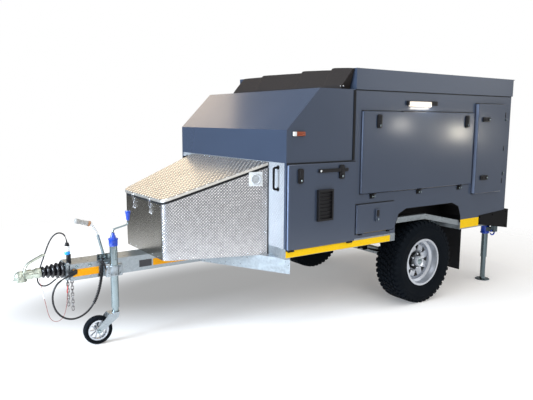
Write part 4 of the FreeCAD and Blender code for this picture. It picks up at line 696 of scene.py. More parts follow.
def facing(axis: Sequence[float]) -> Test:
    """A test for faces that look along an axis."""
    want = Vector(axis)
    return lambda middle, normal: normal.dot(want) > 0.9


def inset(obj: Obj, axis: Sequence[float], width: float, depth: float) -> Obj:
    """Inset the faces that look along an axis, and sink or raise them."""
    with editing(obj):
        pick(obj, facing(axis))
        bpy.ops.mesh.inset(thickness=width, depth=depth)
    return obj


def squeezed(obj: Obj, axis: Sequence[float], scale: Sequence[float],
             move: Sequence[float] = (0.0, 0.0, 0.0)) -> Obj:
    """Scale the faces that look along an axis about their middle, and move them."""
    with editing(obj):
        pick(obj, facing(axis))
        bpy.ops.transform.resize(value=scale)
        if any(move):
            bpy.ops.transform.translate(value=move)
    return obj


def smooth(obj: Obj, angle: float = SMOOTH_ANGLE) -> Obj:
    """Shade smoothly by angle."""
    focus(obj)
    bpy.ops.object.shade_smooth_by_angle(angle=math.radians(angle))
    return obj


def soften(obj: Obj, width: float, segments: int = 2) -> Obj:
    """Round the sharp edges with an applied bevel, and shade smoothly by angle."""
    focus(obj)
    bevel = obj.modifiers.new("soften", "BEVEL")
    bevel.width = width
    bevel.segments = segments
    bevel.limit_method = "ANGLE"
    bevel.angle_limit = math.radians(BEVEL_ANGLE)
    bpy.ops.object.modifier_apply(modifier=bevel.name)
    return smooth(obj)


def outward(obj: Obj) -> Obj:
    """Merge doubles and turn all faces outward."""
    with editing(obj):
        bpy.ops.mesh.select_all(action="SELECT")
        bpy.ops.mesh.remove_doubles(threshold=0.00001)
        bpy.ops.mesh.normals_make_consistent(inside=False)
    return obj


def copied(obj: Obj) -> Obj:
    """A copy with its own mesh."""
    twin = obj.copy()
    twin.data = obj.data.copy()
    bpy.context.scene.collection.objects.link(twin)
    return twin


def mirrored(obj: Obj, side: Side) -> Obj:
    """A left-hand piece itself for the left side, or turned into its mirror image for the right."""
    if side is Side.RIGHT:
        obj.data.transform(Matrix.Scale(-1, 4, (0, 1, 0)))
        obj.data.flip_normals()
    return obj


def joined(name: str, pieces: Sequence[Obj]) -> Obj:
    """Several pieces as one object."""
    focus(*pieces)
    bpy.ops.object.join()
    return labelled(bpy.context.object, name)


def turned(name: str, profile: Sequence[tuple[float, float]], base: Sequence[float], axis: Sequence[float],
           steps: int = 48) -> Obj:
    """Spin a profile about an axis.

    Args:
        name: the piece's name.
        profile: (radius, height along the axis) points in order.
        base: a point on the axis at height zero.
        axis: the direction of the axis.
        steps: how many faces go round.

    Returns:
        The spun piece, closed and facing outward.
    """
    base, axis = Vector(base), Vector(axis).normalized()
    away = axis.orthogonal().normalized()
    points = [base + away * r + axis * h for r, h in profile]
    focus()
    bpy.ops.mesh.primitive_plane_add(size=0.001, location=(0, 0, 0))
    obj = named(name)
    with editing(obj, "VERT"):
        bpy.ops.mesh.select_all(action="SELECT")
        bpy.ops.mesh.merge(type="CENTER")
        bpy.ops.transform.translate(value=points[0])
        for last, point in zip(points, points[1:]):
            bpy.ops.mesh.extrude_vertices_move(TRANSFORM_OT_translate={"value": point - last})
        bpy.ops.mesh.select_all(action="SELECT")
        bpy.ops.mesh.spin(steps=steps, angle=2 * math.pi, center=base, axis=axis)
    outward(obj)
    return smooth(obj)


def tube(name: str, points: Sequence[Sequence[float]], radius: float, sides: int = 4) -> Obj:
    """A round bar that follows points in one smooth bend, closed at both ends."""
    focus()
    bpy.ops.curve.primitive_nurbs_path_add(location=(0, 0, 0))
    data = bpy.context.object.data
    data.splines.clear()
    spline = data.splines.new("NURBS")
    spline.points.add(len(points) - 1)
    for place, point in zip(spline.points, points):
        place.co = (*point, 1.0)
    spline.order_u = 3
    spline.use_endpoint_u = True
    data.bevel_depth = radius
    data.bevel_resolution = sides
    data.use_fill_caps = True
    bpy.ops.object.convert(target="MESH")
    return smooth(outward(labelled(bpy.context.object, name)))


def line_curve(name: str, kind: str, points: Sequence[Sequence[float]], radii: Sequence[float],
               depth: float, sides: int) -> Obj:
    """A capped round curve along points.

    Args:
        name: the curve's name.
        kind: POLY or NURBS.
        points: the points of its line.
        radii: the point's radius as a share of depth, for each.
        depth: the radius that the shares go by.
        sides: how fine its roundness is.

    Returns:
        The curve's object, not yet a mesh.
    """
    data = bpy.data.curves.new(name, "CURVE")
    data.dimensions = "3D"
    spline = data.splines.new(kind)
    spline.points.add(len(points) - 1)
    for place, point, radius in zip(spline.points, points, radii):
        place.co = (*point, 1.0)
        place.radius = radius
    data.bevel_depth = depth
    data.bevel_resolution = sides
    data.use_fill_caps = True
    obj = bpy.data.objects.new(name, data)
    bpy.context.scene.collection.objects.link(obj)
    return obj


def strap(name: str, points: Sequence[tuple[float, float]], y: float, width: float, thick: float) -> Obj:
    """A flat bar bent along points in the side view.

    Args:
        name: the bar's name.
        points: (x, z) points in the frame.
        y: where its middle lies.
        width: its width along Y.
        thick: its thickness.

    Returns:
        The bar, with rounded edges and closed ends.
    """
    data = bpy.data.curves.new(name, "CURVE")
    data.dimensions = "2D"
    spline = data.splines.new("NURBS")
    spline.points.add(len(points) - 1)
    for place, (x, z) in zip(spline.points, points):
        place.co = (x, z, 0.0, 1.0)
    spline.order_u = 3
    spline.use_endpoint_u = True
    data.extrude = (width - thick) / 2
    data.bevel_depth = thick / 2
    data.bevel_resolution = 3
    data.use_fill_caps = True
    obj = bpy.data.objects.new(name, data)
    bpy.context.scene.collection.objects.link(obj)
    obj.rotation_euler = (math.pi / 2, 0, 0)
    obj.location = (0, y, 0)
    focus(obj)
    bpy.ops.object.convert(target="MESH")
    return smooth(outward(named(name)))


def frame_ring(name: str, low: Sequence[float], high: Sequence[float], border: float) -> Obj:
    """A rectangular frame: a block with a hole right through it along Y.

    Args:
        name: the piece's name.
        low: the block's low corner.
        high: its high corner.
        border: the frame's width.

    Returns:
        The frame.
    """
    obj = block(name, low, high)
    with editing(obj):
        pick(obj, lambda middle, normal: abs(normal.y) > 0.9)
        bpy.ops.mesh.inset(thickness=border, depth=0.0)
        bpy.ops.mesh.delete(type="ONLY_FACE")
        bpy.ops.mesh.select_all(action="DESELECT")
        bpy.ops.mesh.select_mode(type="EDGE")
        mesh = bmesh.from_edit_mesh(obj.data)
        for edge in mesh.edges:
            edge.select_set(edge.is_boundary)
        bmesh.update_edit_mesh(obj.data)
        bpy.ops.mesh.bridge_edge_loops()
    return outward(obj)


# Studio

@dataclass
class Studio:
    """Pale floor, soft light and the photograph's camera."""

    eye: Point = (3.1397, 4.3017, 1.7017)
    yaw: float = math.radians(-124.84)
    pitch: float = math.radians(-8.10)
    roll: float = math.radians(0.33)
    lens: float = 38.19
    floor_r: float = 7.5
    # floor_glow and the shade fields below make a painted shadow: a soft dark oval on the floor under the
    # trailer, its grey set by a glow.
    floor_glow: tuple[float, float] = (0.14, 0.345)
    floor_tones: tuple[Colour, Colour] = ((0.92, 0.91, 0.90), (0.94, 0.93, 0.92))
    shade_at: Point = (0.30, -0.80, 0.0)
    shade_size: Point = (3.38, 1.36, 1.0)
    shade_edge: tuple[float, float] = (0.245, 1.0)
    shade_tone: Colour = (0.04, 0.04, 0.04)
    fade: tuple[float, float] = (2.9, 5.4)
    floor_drop: float = 0.001
    aim: Point = (0.0, 0.0, 0.9)
    lamps: tuple[tuple[Point, float, float, Colour], ...] = (
        ((2.5, 6.5, 4.0), 3.5, 122.0, (1.0, 0.98, 0.96)),
        ((7.2, -0.2, 2.4), 2.8, 850.0, (0.74, 0.86, 1.0)),
        ((-5.5, 4.5, 3.5), 3.0, 19.0, (0.94, 0.97, 1.0)),
        ((-0.4, -6.0, 3.9), 2.6, 40.0, (1.0, 0.80, 0.57)),
        ((0.0, 0.0, 6.0), 6.0, 170.0, (1.0, 0.98, 0.95)),
        ((-5.20, 4.98, 1.62), 0.24, 2.9, (1.0, 0.94, 0.84)),
        ((-6.96, 4.98, 1.46), 0.28, 6.8, (1.0, 0.92, 0.76)),
    )

    def build(self) -> None:
        """Set the camera, the world, the lamps and the floor."""
        self.camera()
        self.world()
        for n, (place, size, power, colour) in enumerate(self.lamps):
            focus()
            bpy.ops.object.light_add(type="AREA", location=place)
            lamp = bpy.context.object
            lamp.name = "softbox_%d" % n
            lamp.data.size = size
            lamp.data.energy = power
            lamp.data.color = colour
            lamp.rotation_euler = (Vector(self.aim) - Vector(place)).to_track_quat("-Z", "Y").to_euler()
        self.ground()

    def camera(self) -> None:
        """The camera as solved from the photograph."""
        level = math.cos(self.pitch)
        ahead = Vector((level * math.cos(self.yaw), level * math.sin(self.yaw), math.sin(self.pitch)))
        right = ahead.cross(Vector((0, 0, 1))).normalized()
        up = right.cross(ahead)
        right, up = (right * math.cos(self.roll) + up * math.sin(self.roll),
                     up * math.cos(self.roll) - right * math.sin(self.roll))
        data = bpy.data.cameras.new("camera")
        data.lens = self.lens
        data.clip_end = 200.0
        camera = bpy.data.objects.new("camera", data)
        bpy.context.scene.collection.objects.link(camera)
        turn = Matrix((right, up, -ahead)).transposed().to_4x4()
        camera.matrix_world = Matrix.Translation(self.eye) @ turn
        bpy.context.scene.camera = camera

    def world(self) -> None:
        """White behind the trailer, with darker sides for its reflections."""
        world = bpy.data.worlds.new("studio")
        bpy.context.scene.world = world
        world.use_nodes = True
        graph = Graph(world.node_tree)
        back = graph.find("BACKGROUND")
        _, across, up = graph.split(graph.node("TexCoord").outputs["Generated"])
        rise = graph.spread(up, -0.1, 0.8, 0.55, 1.0)
        side = graph.spread(across, -0.9, 0.7, 0.20, 0.95)
        tone = graph.math("MULTIPLY", rise, side)
        seen = graph.node("LightPath").outputs["Is Camera Ray"]
        graph.put(back, "Strength", graph.math("MAXIMUM", tone, seen))
        graph.put(back, "Color", rgba((1.0, 1.0, 1.0)))
        bpy.context.scene.view_settings.view_transform = "Standard"

    def ground(self) -> None:
        """The pale floor with a painted soft shadow under the trailer, which fades out into the white behind
        it.
        """
        focus()
        bpy.ops.mesh.primitive_circle_add(vertices=96, radius=self.floor_r, fill_type="NGON",
                                          location=(0, 0, -self.floor_drop))
        floor = named("studio_floor")
        made = bpy.data.materials.new("studio_floor")
        made.use_nodes = True
        graph = Graph(made.node_tree)
        shader = graph.find("BSDF_PRINCIPLED")
        end = graph.find("OUTPUT_MATERIAL")
        where = graph.node("TexCoord").outputs["Object"]
        tone = graph.blend(graph.noise(where, 0.8), *(rgba(tone) for tone in self.floor_tones))
        # Painted shadow: inside an oval under the trailer the floor turns dark, and its glow rises there to
        # hold the shadow's grey.
        middle = graph.vector("SUBTRACT", where, self.shade_at)
        oval = graph.length(graph.vector("DIVIDE", middle, self.shade_size))
        shade = graph.spread(oval, *self.shade_edge, 1.0, 0.0, "SMOOTHSTEP")
        graph.put(shader, "Base Color", graph.blend(shade, tone, rgba(self.shade_tone)))
        graph.put(shader, "Roughness", 0.9)
        graph.put(shader, "Specular IOR Level", 0.0)
        graph.put(shader, "Emission Color", rgba((1.0, 1.0, 1.0)))
        graph.put(shader, "Emission Strength", graph.spread(shade, 0.0, 1.0, *self.floor_glow))
        mixed = graph.node("MixShader")
        graph.put(mixed, 0, graph.spread(graph.length(where), *self.fade, 0.0, 1.0))
        graph.put(mixed, 1, shader.outputs[0])
        graph.put(mixed, 2, graph.node("BsdfTransparent").outputs[0])
        graph.put(end, 0, mixed.outputs[0])
        floor.data.materials.append(made)


# Cords

@dataclass(frozen=True)
class Cord:
    """One hanging lead: its route from the axle line in metres, and its facts."""

    name: str
    route: tuple[Point, ...]
    radius: float
    length: float
    far_end: str
    stiffness: str
    finish: Finish
    with_nodes: tuple[str, ...] = ()

    def build(self) -> Obj:
        """Lay the cord on one smooth NURBS line through its route."""
        points = [axle(*point) for point in self.route]
        obj = line_curve(self.name + "_line", "NURBS", points, [self.radius] * len(points), 1.0, 4)
        spline = obj.data.splines[0]
        spline.order_u = 3
        spline.use_endpoint_u = True
        spline.resolution_u = 12
        Shop.fit(obj, self.finish)
        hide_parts(self.name)
        return obj

    def declare(self, obj: Obj, pieces: Sequence[Obj]) -> None:
        """Take the cord and its pieces; nothing is done with them."""


POWER_LEAD = Cord("power_lead", (
    (2.772, 0.120, 0.600), (2.777, 0.120, 0.545), (2.789, 0.121, 0.475), (2.808, 0.123, 0.395),
    (2.843, 0.125, 0.312), (2.895, 0.126, 0.247), (2.961, 0.126, 0.212), (3.028, 0.125, 0.207),
    (3.091, 0.124, 0.237), (3.137, 0.122, 0.298), (3.155, 0.121, 0.378), (3.142, 0.120, 0.455),
    (3.102, 0.121, 0.512), (3.048, 0.123, 0.536)), 0.005, 0.9495, "plug", "medium", LEAD_SHEATH,
    ("power_plug",))
TRAILER_CABLE = Cord("trailer_cable", (
    (3.005, 0.022, 0.775), (3.008, 0.017, 0.812), (3.027, 0.006, 0.846), (3.062, -0.012, 0.852),
    (3.095, -0.031, 0.825), (3.119, -0.047, 0.778), (3.138, -0.060, 0.722), (3.158, -0.069, 0.661),
    (3.180, -0.075, 0.598), (3.200, -0.078, 0.541), (3.209, -0.078, 0.497), (3.199, -0.076, 0.460),
    (3.172, -0.073, 0.440), (3.137, -0.069, 0.442), (3.104, -0.065, 0.463), (3.071, -0.061, 0.488),
    (3.0334, -0.058, 0.500)), 0.003, 0.7359, "object", "medium", LEAD_SHEATH)
BREAKAWAY_CABLE = Cord("breakaway_cable", (
    (3.021, 0.055, 0.496), (3.023, 0.060, 0.452), (3.030, 0.066, 0.398), (3.034, 0.068, 0.340),
    (3.043, 0.068, 0.284), (3.058, 0.067, 0.232), (3.086, 0.066, 0.196), (3.124, 0.064, 0.190),
    (3.155, 0.061, 0.212), (3.172, 0.058, 0.256), (3.181, 0.054, 0.312), (3.191, 0.048, 0.370),
    (3.199, 0.038, 0.428), (3.208, 0.023, 0.481), (3.214, 0.010, 0.531)), 0.002, 0.7156, "object", "medium",
    RED_WIRE)
CORDS = {cord.name: cord for cord in (POWER_LEAD, TRAILER_CABLE, BREAKAWAY_CABLE)}


# Soft cover

@dataclass
class TentCover:
    """The folded tent's fabric cover in front of the roof lid, with its rolls showing through."""

    node: str = "tent_cover"
    rolls: tuple[float, ...] = (-0.90, -0.428, 0.205, 0.606, 0.90)
    rises: tuple[float, ...] = (0.002, 0.013, 0.016, 0.017)
    top: float = 2.118
    cuts: int = 5

    def tooth(self, y: float) -> float:
        """How far the roll at y stands above the lowest line: high at its start, falling to its end."""
        for start, end, rise in zip(self.rolls, self.rolls[1:], self.rises):
            if start <= y < end:
                return rise * (1 - (y - start) / (end - start))
        return 0.0

    def build(self) -> Obj:
        low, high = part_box(self.node)
        obj = block("folded_tent_cover", low + Vector((0.001, 0.004, 0.0)),
                    (high.x - 0.002, high.y - 0.004, self.top))
        with editing(obj):
            bpy.ops.mesh.select_all(action="SELECT")
            bpy.ops.mesh.subdivide(number_cuts=self.cuts)
            bpy.ops.mesh.subdivide(number_cuts=2)
            for y in self.rolls[1:-1]:
                for shift in (-0.007, 0.001):
                    bpy.ops.mesh.select_all(action="SELECT")
                    bpy.ops.mesh.bisect(plane_co=(0, y + shift, 0), plane_no=(0, 1, 0))
        rng = random.Random(11)
        depth, height = high.x - low.x, self.top - low.z
        waves = [(rng.uniform(18, 34), rng.uniform(0, 6.3), rng.uniform(20, 40)) for _ in range(4)]
        for vertex in obj.data.vertices:
            co = vertex.co
            up = (co.z - low.z) / height
            out = (co.x - low.x) / depth
            keep = 1.0 - 0.86 * max(0.0, up - 0.18) / 0.82
            ripple = sum(math.sin(a * co.y + b + c * co.z) for a, b, c in waves) / 4
            rise = self.tooth(co.y)
            swell = (rise * 0.35 + 0.004 * ripple) * min(1.0, out * 1.5) * (0.3 + up)
            co.x = low.x + 0.001 + out * depth * keep + swell
            co.z += up * (rise + 0.001 * ripple)
            co.y += 0.09 * up * max(0.0, -co.y - 0.5) / 0.37 - 0.05 * (1 - up) * max(0.0, co.y - 0.6) / 0.27
        focus(obj)
        sub = obj.modifiers.new("round", "SUBSURF")
        sub.levels = sub.render_levels = 1
        bpy.ops.object.modifier_apply(modifier=sub.name)
        smooth(obj)
        Shop.fit(obj, COVER)
        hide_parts(self.node)
        stud = [(0.0, 0.004), (0.005, 0.0036), (0.0075, 0.001), (0.0075, -0.004), (0.0, -0.004)]
        studs = [turned("stud", stud, axle(0.998, y, 1.972), (1, 0, 0), 20) for y in (0.806, 0.840)]
        Shop.fit(joined("cover_studs", studs), CHROME)
        return obj


# Road wheels

HUB_PARTS = (
    ("hub_cap_", 0.034, 36, BRIGHT_ZINC, (
        (0.0, 0.047), (0.016, 0.046), (0.028, 0.042), (0.036, 0.034), (0.038, 0.026), (0.0385, 0.002),
        (0.044, -0.002), (0.044, -0.006), (0.0, -0.006))),
    ("hub_well_", 0.034, 40, BLACK_STEEL, (
        (0.052, -0.022), (0.056, -0.012), (0.083, -0.012), (0.083, -0.019), (0.052, -0.026),
        (0.052, -0.022))),
    ("brake_drum_", 0.0, 56, BLACK_STEEL, (
        (0.0618, -0.085), (0.146, -0.085), (0.150, -0.081), (0.150, -0.016), (0.146, -0.012),
        (0.0618, -0.012), (0.0618, -0.085))),
)


@dataclass
class RoadWheel:
    """One road wheel: the tyre with its tread blocks, and the dressing of the rim."""

    side: Side
    half_width: float = 0.1325
    radius: float = 0.388
    groove: float = 0.011
    lug_y: tuple[float, float] = (0.100, 0.1315)
    pitches: int = 44
    nuts: int = 6
    nut_circle: float = 0.066
    face: float = 0.034

    @property
    def centre(self) -> Vector:
        """The wheel's middle on the axle line."""
        low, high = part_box("tyre_" + self.side.word)
        return (low + high) / 2

    def build(self) -> Obj:
        """Make the tyre and the rim's dressing, and fix them."""
        tyre = self.tyre()
        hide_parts("tyre_" + self.side.word)
        self.rim_dressing()
        return tyre

    def carcass(self) -> Obj:
        """Side walls, shoulders and the ground of the tread."""
        half, top = self.half_width, self.radius - self.groove
        side = [(0.2214, 0.112), (0.232, 0.119), (0.243, 0.1185), (0.249, 0.121), (0.252, 0.1235),
                (0.268, 0.1275), (0.293, half), (0.318, half + 0.001), (0.321, half - 0.002),
                (0.334, half - 0.003), (0.352, 0.1265), (0.366, 0.119), (0.374, 0.109), (top, 0.096)]
        profile = [(r, -h) for r, h in side] + side[::-1]
        return turned("carcass", profile + profile[:1], self.centre, (0, 1, 0), 88)

    def tread_block(self, name: str, y0: float, y1: float, start: float, length: float, yaw: float) -> Obj:
        """One rubber block on top of the tread, tapered towards its crown."""
        centre, sink = self.centre, 0.004
        low = self.radius - self.groove - sink
        obj = block(name, (centre.x - length / 2, centre.y + y0, centre.z + low),
                    (centre.x + length / 2, centre.y + y1, centre.z + self.radius))
        with editing(obj):
            pick(obj, facing((0, 0, 1)))
            bpy.ops.transform.resize(value=(0.86, 0.9, 1.0))
            bpy.ops.mesh.inset(thickness=0.0022, depth=0.0)
        return self.rolled(turned_about(obj, centre, yaw, "Z"), start + length / 2)

    def rolled(self, obj: Obj, run: float) -> Obj:
        """A tread block moved round the tyre by a length of its tread."""
        return turned_about(obj, self.centre, math.degrees(run / self.radius), "Y")

    def shoulder_lug(self, name: str, s: int, start: float, length: float) -> Obj:
        """One lug that wraps from the tread over the shoulder."""
        centre = self.centre
        low = self.radius - 0.050
        ys = sorted(s * y for y in self.lug_y)
        obj = block(name, (centre.x - length / 2, centre.y + ys[0], centre.z + low),
                    (centre.x + length / 2, centre.y + ys[1], centre.z + self.radius - 0.004))
        with editing(obj):
            pick(obj, facing((0, 0, 1)))
            bpy.ops.transform.resize(value=(0.86, 0.55, 1.0),
                                     center_override=(centre.x, centre.y + s * self.lug_y[0], centre.z))
            bpy.ops.transform.translate(value=(0, 0, 0.002))
            pick(obj, lambda middle, normal: normal.y * s > 0.6)
            bpy.ops.mesh.inset(thickness=0.003, depth=0.0)
        return self.rolled(obj, start + length / 2)

    def tyre(self) -> Obj:
        """Carcass and tread, one piece."""
        arc = 2 * math.pi * self.radius / self.pitches
        blocks = [
            self.tread_block("centre_a", -0.022, 0.000, 0.001, arc * 0.78, 14),
            self.tread_block("centre_b", 0.003, 0.024, arc * 0.42, arc * 0.78, 14),
            self.tread_block("mid_a", -0.062, -0.028, arc * 0.16, arc * 0.74, -16),
            self.tread_block("mid_b", 0.030, 0.064, arc * 0.60, arc * 0.74, -16),
            self.tread_block("edge_a", -0.098, -0.068, 0.0, arc * 0.70, 8),
            self.tread_block("edge_b", 0.069, 0.099, arc * 0.5, arc * 0.70, 8),
            self.shoulder_lug("lug_a", -1, 0.004, arc * 0.62),
            self.shoulder_lug("lug_b", 1, arc * 0.5, arc * 0.62),
        ]
        tread = joined("tread", blocks)
        with editing(tread):
            bpy.ops.mesh.select_all(action="SELECT")
            bpy.ops.mesh.spin(steps=self.pitches, angle=2 * math.pi, center=self.centre, axis=(0, 1, 0),
                              dupli=True, use_auto_merge=False)
        outward(tread)
        tyre = joined("road_tyre_" + self.side.word, [self.carcass(), tread])
        smooth(tyre, 30)
        return Shop.fit(tyre, TYRE_RUBBER, "wheel_" + self.side.word)

    def rim_dressing(self) -> None:
        """Hub cap, dark well and brake drum, wheel nuts."""
        s, body = self.side.value, "wheel_" + self.side.word
        for name, out, steps, finish, profile in HUB_PARTS:
            at = self.centre + Vector((0, s * out, 0))
            Shop.fit(turned(name + self.side.word, profile, at, (0, s, 0), steps), finish, body)
        face = self.centre + Vector((0, s * self.face, 0))
        nuts = []
        for n in range(self.nuts):
            angle = 2 * math.pi * (n + 0.5) / self.nuts
            out = Vector((math.cos(angle), 0, math.sin(angle))) * self.nut_circle
            at = face + Vector((0, s * -0.006, 0)) + out
            nut = rod("nut", at, at + Vector((0, s * 0.018, 0)), 0.0115, sides=6)
            inset(nut, (0, s, 0), 0.003, 0.003)
            nuts.append(soften(nut, 0.0015))
        Shop.fit(joined("wheel_nuts_" + self.side.word, nuts), CHROME, body)


# Body shell

STRIPS = (
    ("nose_seal_", (0.887, 0.912), (1.374, 1.944), 0.006, 0.002, RUBBER),
    ("belt_line_", (0.907, 1.5878), (1.370, 1.374), 0.0012, 0.0004, RUBBER),
    ("lid_seal_", (-1.303, 0.887), (1.9415, 1.9488), 0.0016, 0.0005, RUBBER),
    ("tape_front_", (0.428, 1.585), (0.636, 0.690), 0.0012, 0.0004, YELLOW_TAPE),
    ("tape_rear_", (-0.863, -0.569), (0.644, 0.732), 0.0012, 0.0004, YELLOW_TAPE),
)


@dataclass
class BodyTrim:
    """Seals, seams and tapes on the body's sides."""

    half_width: float = 0.875
    sunk: float = 0.0005
    hinges: tuple[float, ...] = (-0.511, 0.076, 0.669)
    hinge_y: float = 0.897
    hasps: tuple[tuple[float, float], ...] = ((1.711, 0.022), (1.158, 0.036))
    hasp_x: tuple[float, float] = (-1.236, -1.222)
    edge_x: float = -1.176
    edges: tuple[tuple[float, float, float, float], ...] = (
        (1.660, 1.730, 0.012, 0.010), (1.790, 1.858, 0.012, 0.010), (1.030, 1.060, 0.012, 0.010),
        (1.120, 1.150, 0.012, 0.010), (1.022, 1.866, 0.005, 0.004))

    def build(self) -> None:
        """Make the trim of both sides."""
        for side in Side:
            for name, xs, zs, out, bevel, finish in STRIPS:
                piece = self.on_wall(name + side.word, side, xs, zs, out)
                inset(piece, (0, side.value, 0), min(0.002, (zs[1] - zs[0]) * 0.2), 0.0)
                Shop.fit(soften(piece, bevel), finish)
            self.hinge_bolts(side)
            self.rear_catches(side)

    def on_wall(self, name: str, side: Side, xs: Sequence[float], zs: Sequence[float], out: float) -> Obj:
        """A block on the body's side, standing out from it."""
        ys = side.span(self.half_width - self.sunk, self.half_width + out)
        return block(name, axle(xs[0], ys[0], zs[0]), axle(xs[1], ys[1], zs[1]))

    def hinge_bolts(self, side: Side) -> None:
        """Two bright bolts on each hinge half of the large hatch."""
        y = side.value * self.hinge_y
        heads = [bolt("hinge_bolt", axle(x + dx, y, 1.056), (0, side.value, 0), 0.0055, 0.004)
                 for x in self.hinges for dx in (-0.013, 0.013)]
        Shop.fit(joined("hinge_bolts_" + side.word, heads), BRIGHT_ZINC)

    def rear_catches(self, side: Side) -> None:
        """Small hasps near the rear edge and the dark edge strips of the rear door."""
        hasps, darks = [], []
        for z, tall in self.hasps:
            hasps.append(soften(self.on_wall("hasp", side, self.hasp_x, (z - tall / 2, z + tall / 2), 0.014),
                                0.003))
        Shop.fit(joined("rear_hasps_" + side.word, hasps), BRIGHT_ZINC)
        for z0, z1, thick, out in self.edges:
            xs = (self.edge_x - thick / 2, self.edge_x + thick / 2)
            darks.append(soften(self.on_wall("edge_strip", side, xs, (z0, z1), out), thick / 6))
        Shop.fit(joined("rear_edge_strips_" + side.word, darks), BLACK_PLASTIC)


# Small fittings

def bolt(name: str, at: Vector, out: Sequence[float], radius: float, height: float) -> Obj:
    """A hexagon bolt head on its washer.

    Args:
        name: the bolt's name.
        at: the point where it stands on its face.
        out: the face's outward direction.
        radius: half its width over corners.
        height: how far its head stands out.

    Returns:
        The bolt.
    """
    out = Vector(out)
    washer = rod("washer", at - out * 0.001, at + out * 0.0016, radius * 1.45, sides=20)
    head = rod(name, at, at + out * height, radius, sides=6)
    inset(head, out, radius * 0.18, radius * 0.1)
    return joined(name, [soften(head, 0.0007, 1), smooth(washer)])


def rivet(at: Vector, out: Sequence[float]) -> Obj:
    """A domed rivet head."""
    dome = [(0.0, 0.0024), (0.002, 0.0021), (0.0036, 0.0011), (0.0042, 0.0), (0.0042, -0.0008),
            (0.0, -0.0008)]
    return turned("rivet", dome, at, out, 12)


def turned_about(obj: Obj, pivot: Vector, degrees: float, axis: str) -> Obj:
    """Turn a piece's mesh about a point."""
    turn = Matrix.Rotation(math.radians(degrees), 4, axis)
    obj.data.transform(Matrix.Translation(pivot) @ turn @ Matrix.Translation(-pivot))
    return obj


def line_points(curve: Obj) -> list[Vector]:
    """The points of a cord's middle line, read from its NURBS without its thickness."""
    depth = curve.data.bevel_depth
    curve.data.bevel_depth = 0.0
    bpy.context.view_layer.update()
    mesh = bpy.data.meshes.new_from_object(curve)
    points = [vertex.co.copy() for vertex in mesh.vertices]
    bpy.data.meshes.remove(mesh)
    curve.data.bevel_depth = depth
    return points


def sleeve(name: str, points: Sequence[Vector], radii: Sequence[float], sides: int = 4) -> Obj:
    """A round sleeve along points, with a radius at each."""
    obj = line_curve(name, "POLY", points, [radius * 1000 for radius in radii], 0.001, sides)
    focus(obj)
    bpy.ops.object.convert(target="MESH")
    return smooth(outward(labelled(bpy.context.object, name)))


def stretch(points: Sequence[Vector], start: float, length: float) -> list[Vector]:
    """The part of a line from one distance along it, for a length."""
    out, run = [], 0.0
    for last, point in zip(points, points[1:]):
        if start <= run <= start + length:
            out.append(last)
        run += (point - last).length
    return out


def helix(points: Sequence[Vector], radius: float, pitch: float, fine: int = 5) -> list[Vector]:
    """Points that wind round a line.

    Args:
        points: the line.
        radius: distance from the line.
        pitch: length along the line for one turn.
        fine: steps between two of the line's points.

    Returns:
        The winding's points.
    """
    out, run = [], 0.0
    side = (points[1] - points[0]).orthogonal().normalized()
    for last, point in zip(points, points[1:]):
        ahead = (point - last).normalized()
        side = (side - ahead * side.dot(ahead)).normalized()
        for n in range(fine):
            share = n / fine
            at = run + (point - last).length * share
            angle = 2 * math.pi * at / pitch
            around = side * math.cos(angle) + ahead.cross(side) * math.sin(angle)
            out.append(last.lerp(point, share) + around * radius)
        run += (point - last).length
    return out


# Leads' small pieces

@dataclass
class LeadPieces:
    """Strain reliefs, spiral wrap, coloured sleeve and plug ribs on the hanging leads."""

    relief: float = 0.035
    wrap: float = 0.28
    looms: tuple[tuple[str, float, float, float], ...] = (("power_lead", 0.05, 0.86, 0.0072),
                                                          ("trailer_cable", 0.05, 0.64, 0.0056))
    wrap_pitch: float = 0.013
    wrap_r: float = 0.0040
    sleeves: tuple[tuple[str, float, float, float, Finish], ...] = (
        ("red_sleeve", 0.04, 0.06, 0.0034, RED_SLEEVE), ("pale_sleeve", 0.555, 0.085, 0.0045, CLEAR_WHITE))

    def build(self, lines: dict[str, list[Vector]]) -> dict[str, list[Obj]]:
        """Make the pieces that sit on the leads.

        Args:
            lines: each cord's middle line by its name.

        Returns:
            Each cord's pieces by its name.
        """
        made = {}
        for name, points in lines.items():
            made[name] = [self.tapered(name + "_relief", points, CORDS[name].radius)]
        lead = stretch(lines["power_lead"], 0.03, self.wrap)
        winding = helix(lead, POWER_LEAD.radius + 0.0042, self.wrap_pitch)
        wrap = sleeve("lead_spiral_wrap", winding, [self.wrap_r] * len(winding), 2)
        made["power_lead"] += [Shop.fit(wrap, BLACK_PLASTIC), self.plug_ribs(lines["power_lead"])]
        for name, start, length, radius in self.looms:
            part = stretch(lines[name], start, length)
            loom = sleeve(name + "_loom", part, [radius] * len(part))
            made[name].append(Shop.fit(loom, LEAD_SHEATH))
        for name, start, length, radius, finish in self.sleeves:
            part = stretch(lines["breakaway_cable"], start, length)
            piece = sleeve("breakaway_" + name, part, [radius] * len(part))
            made["breakaway_cable"].append(Shop.fit(piece, finish))
        return made

    def tapered(self, name: str, points: list[Vector], radius: float) -> Obj:
        """A relief that thins out along the first stretch of a lead."""
        first = stretch(points, 0.0, self.relief)
        radii = [radius * (2.0 - 0.85 * n / (len(first) - 1)) for n in range(len(first))]
        return Shop.fit(sleeve(name, first, radii), BLACK_PLASTIC)

    def plug_ribs(self, points: list[Vector]) -> Obj:
        """Grip ribs and a collar round the plug."""
        end = points[-1]
        out = (end - points[-2]).normalized()
        ribs = []
        for n in range(4):
            rim = [(0.0165, 0.0), (0.0186, 0.0008), (0.0186, 0.0036), (0.0165, 0.0044), (0.0165, 0.0)]
            ribs.append(turned("plug_rib", rim, end + out * (0.028 + 0.008 * n), out, 28))
        return Shop.fit(joined("plug_ribs", ribs), BLACK_PLASTIC)


# Safety chains

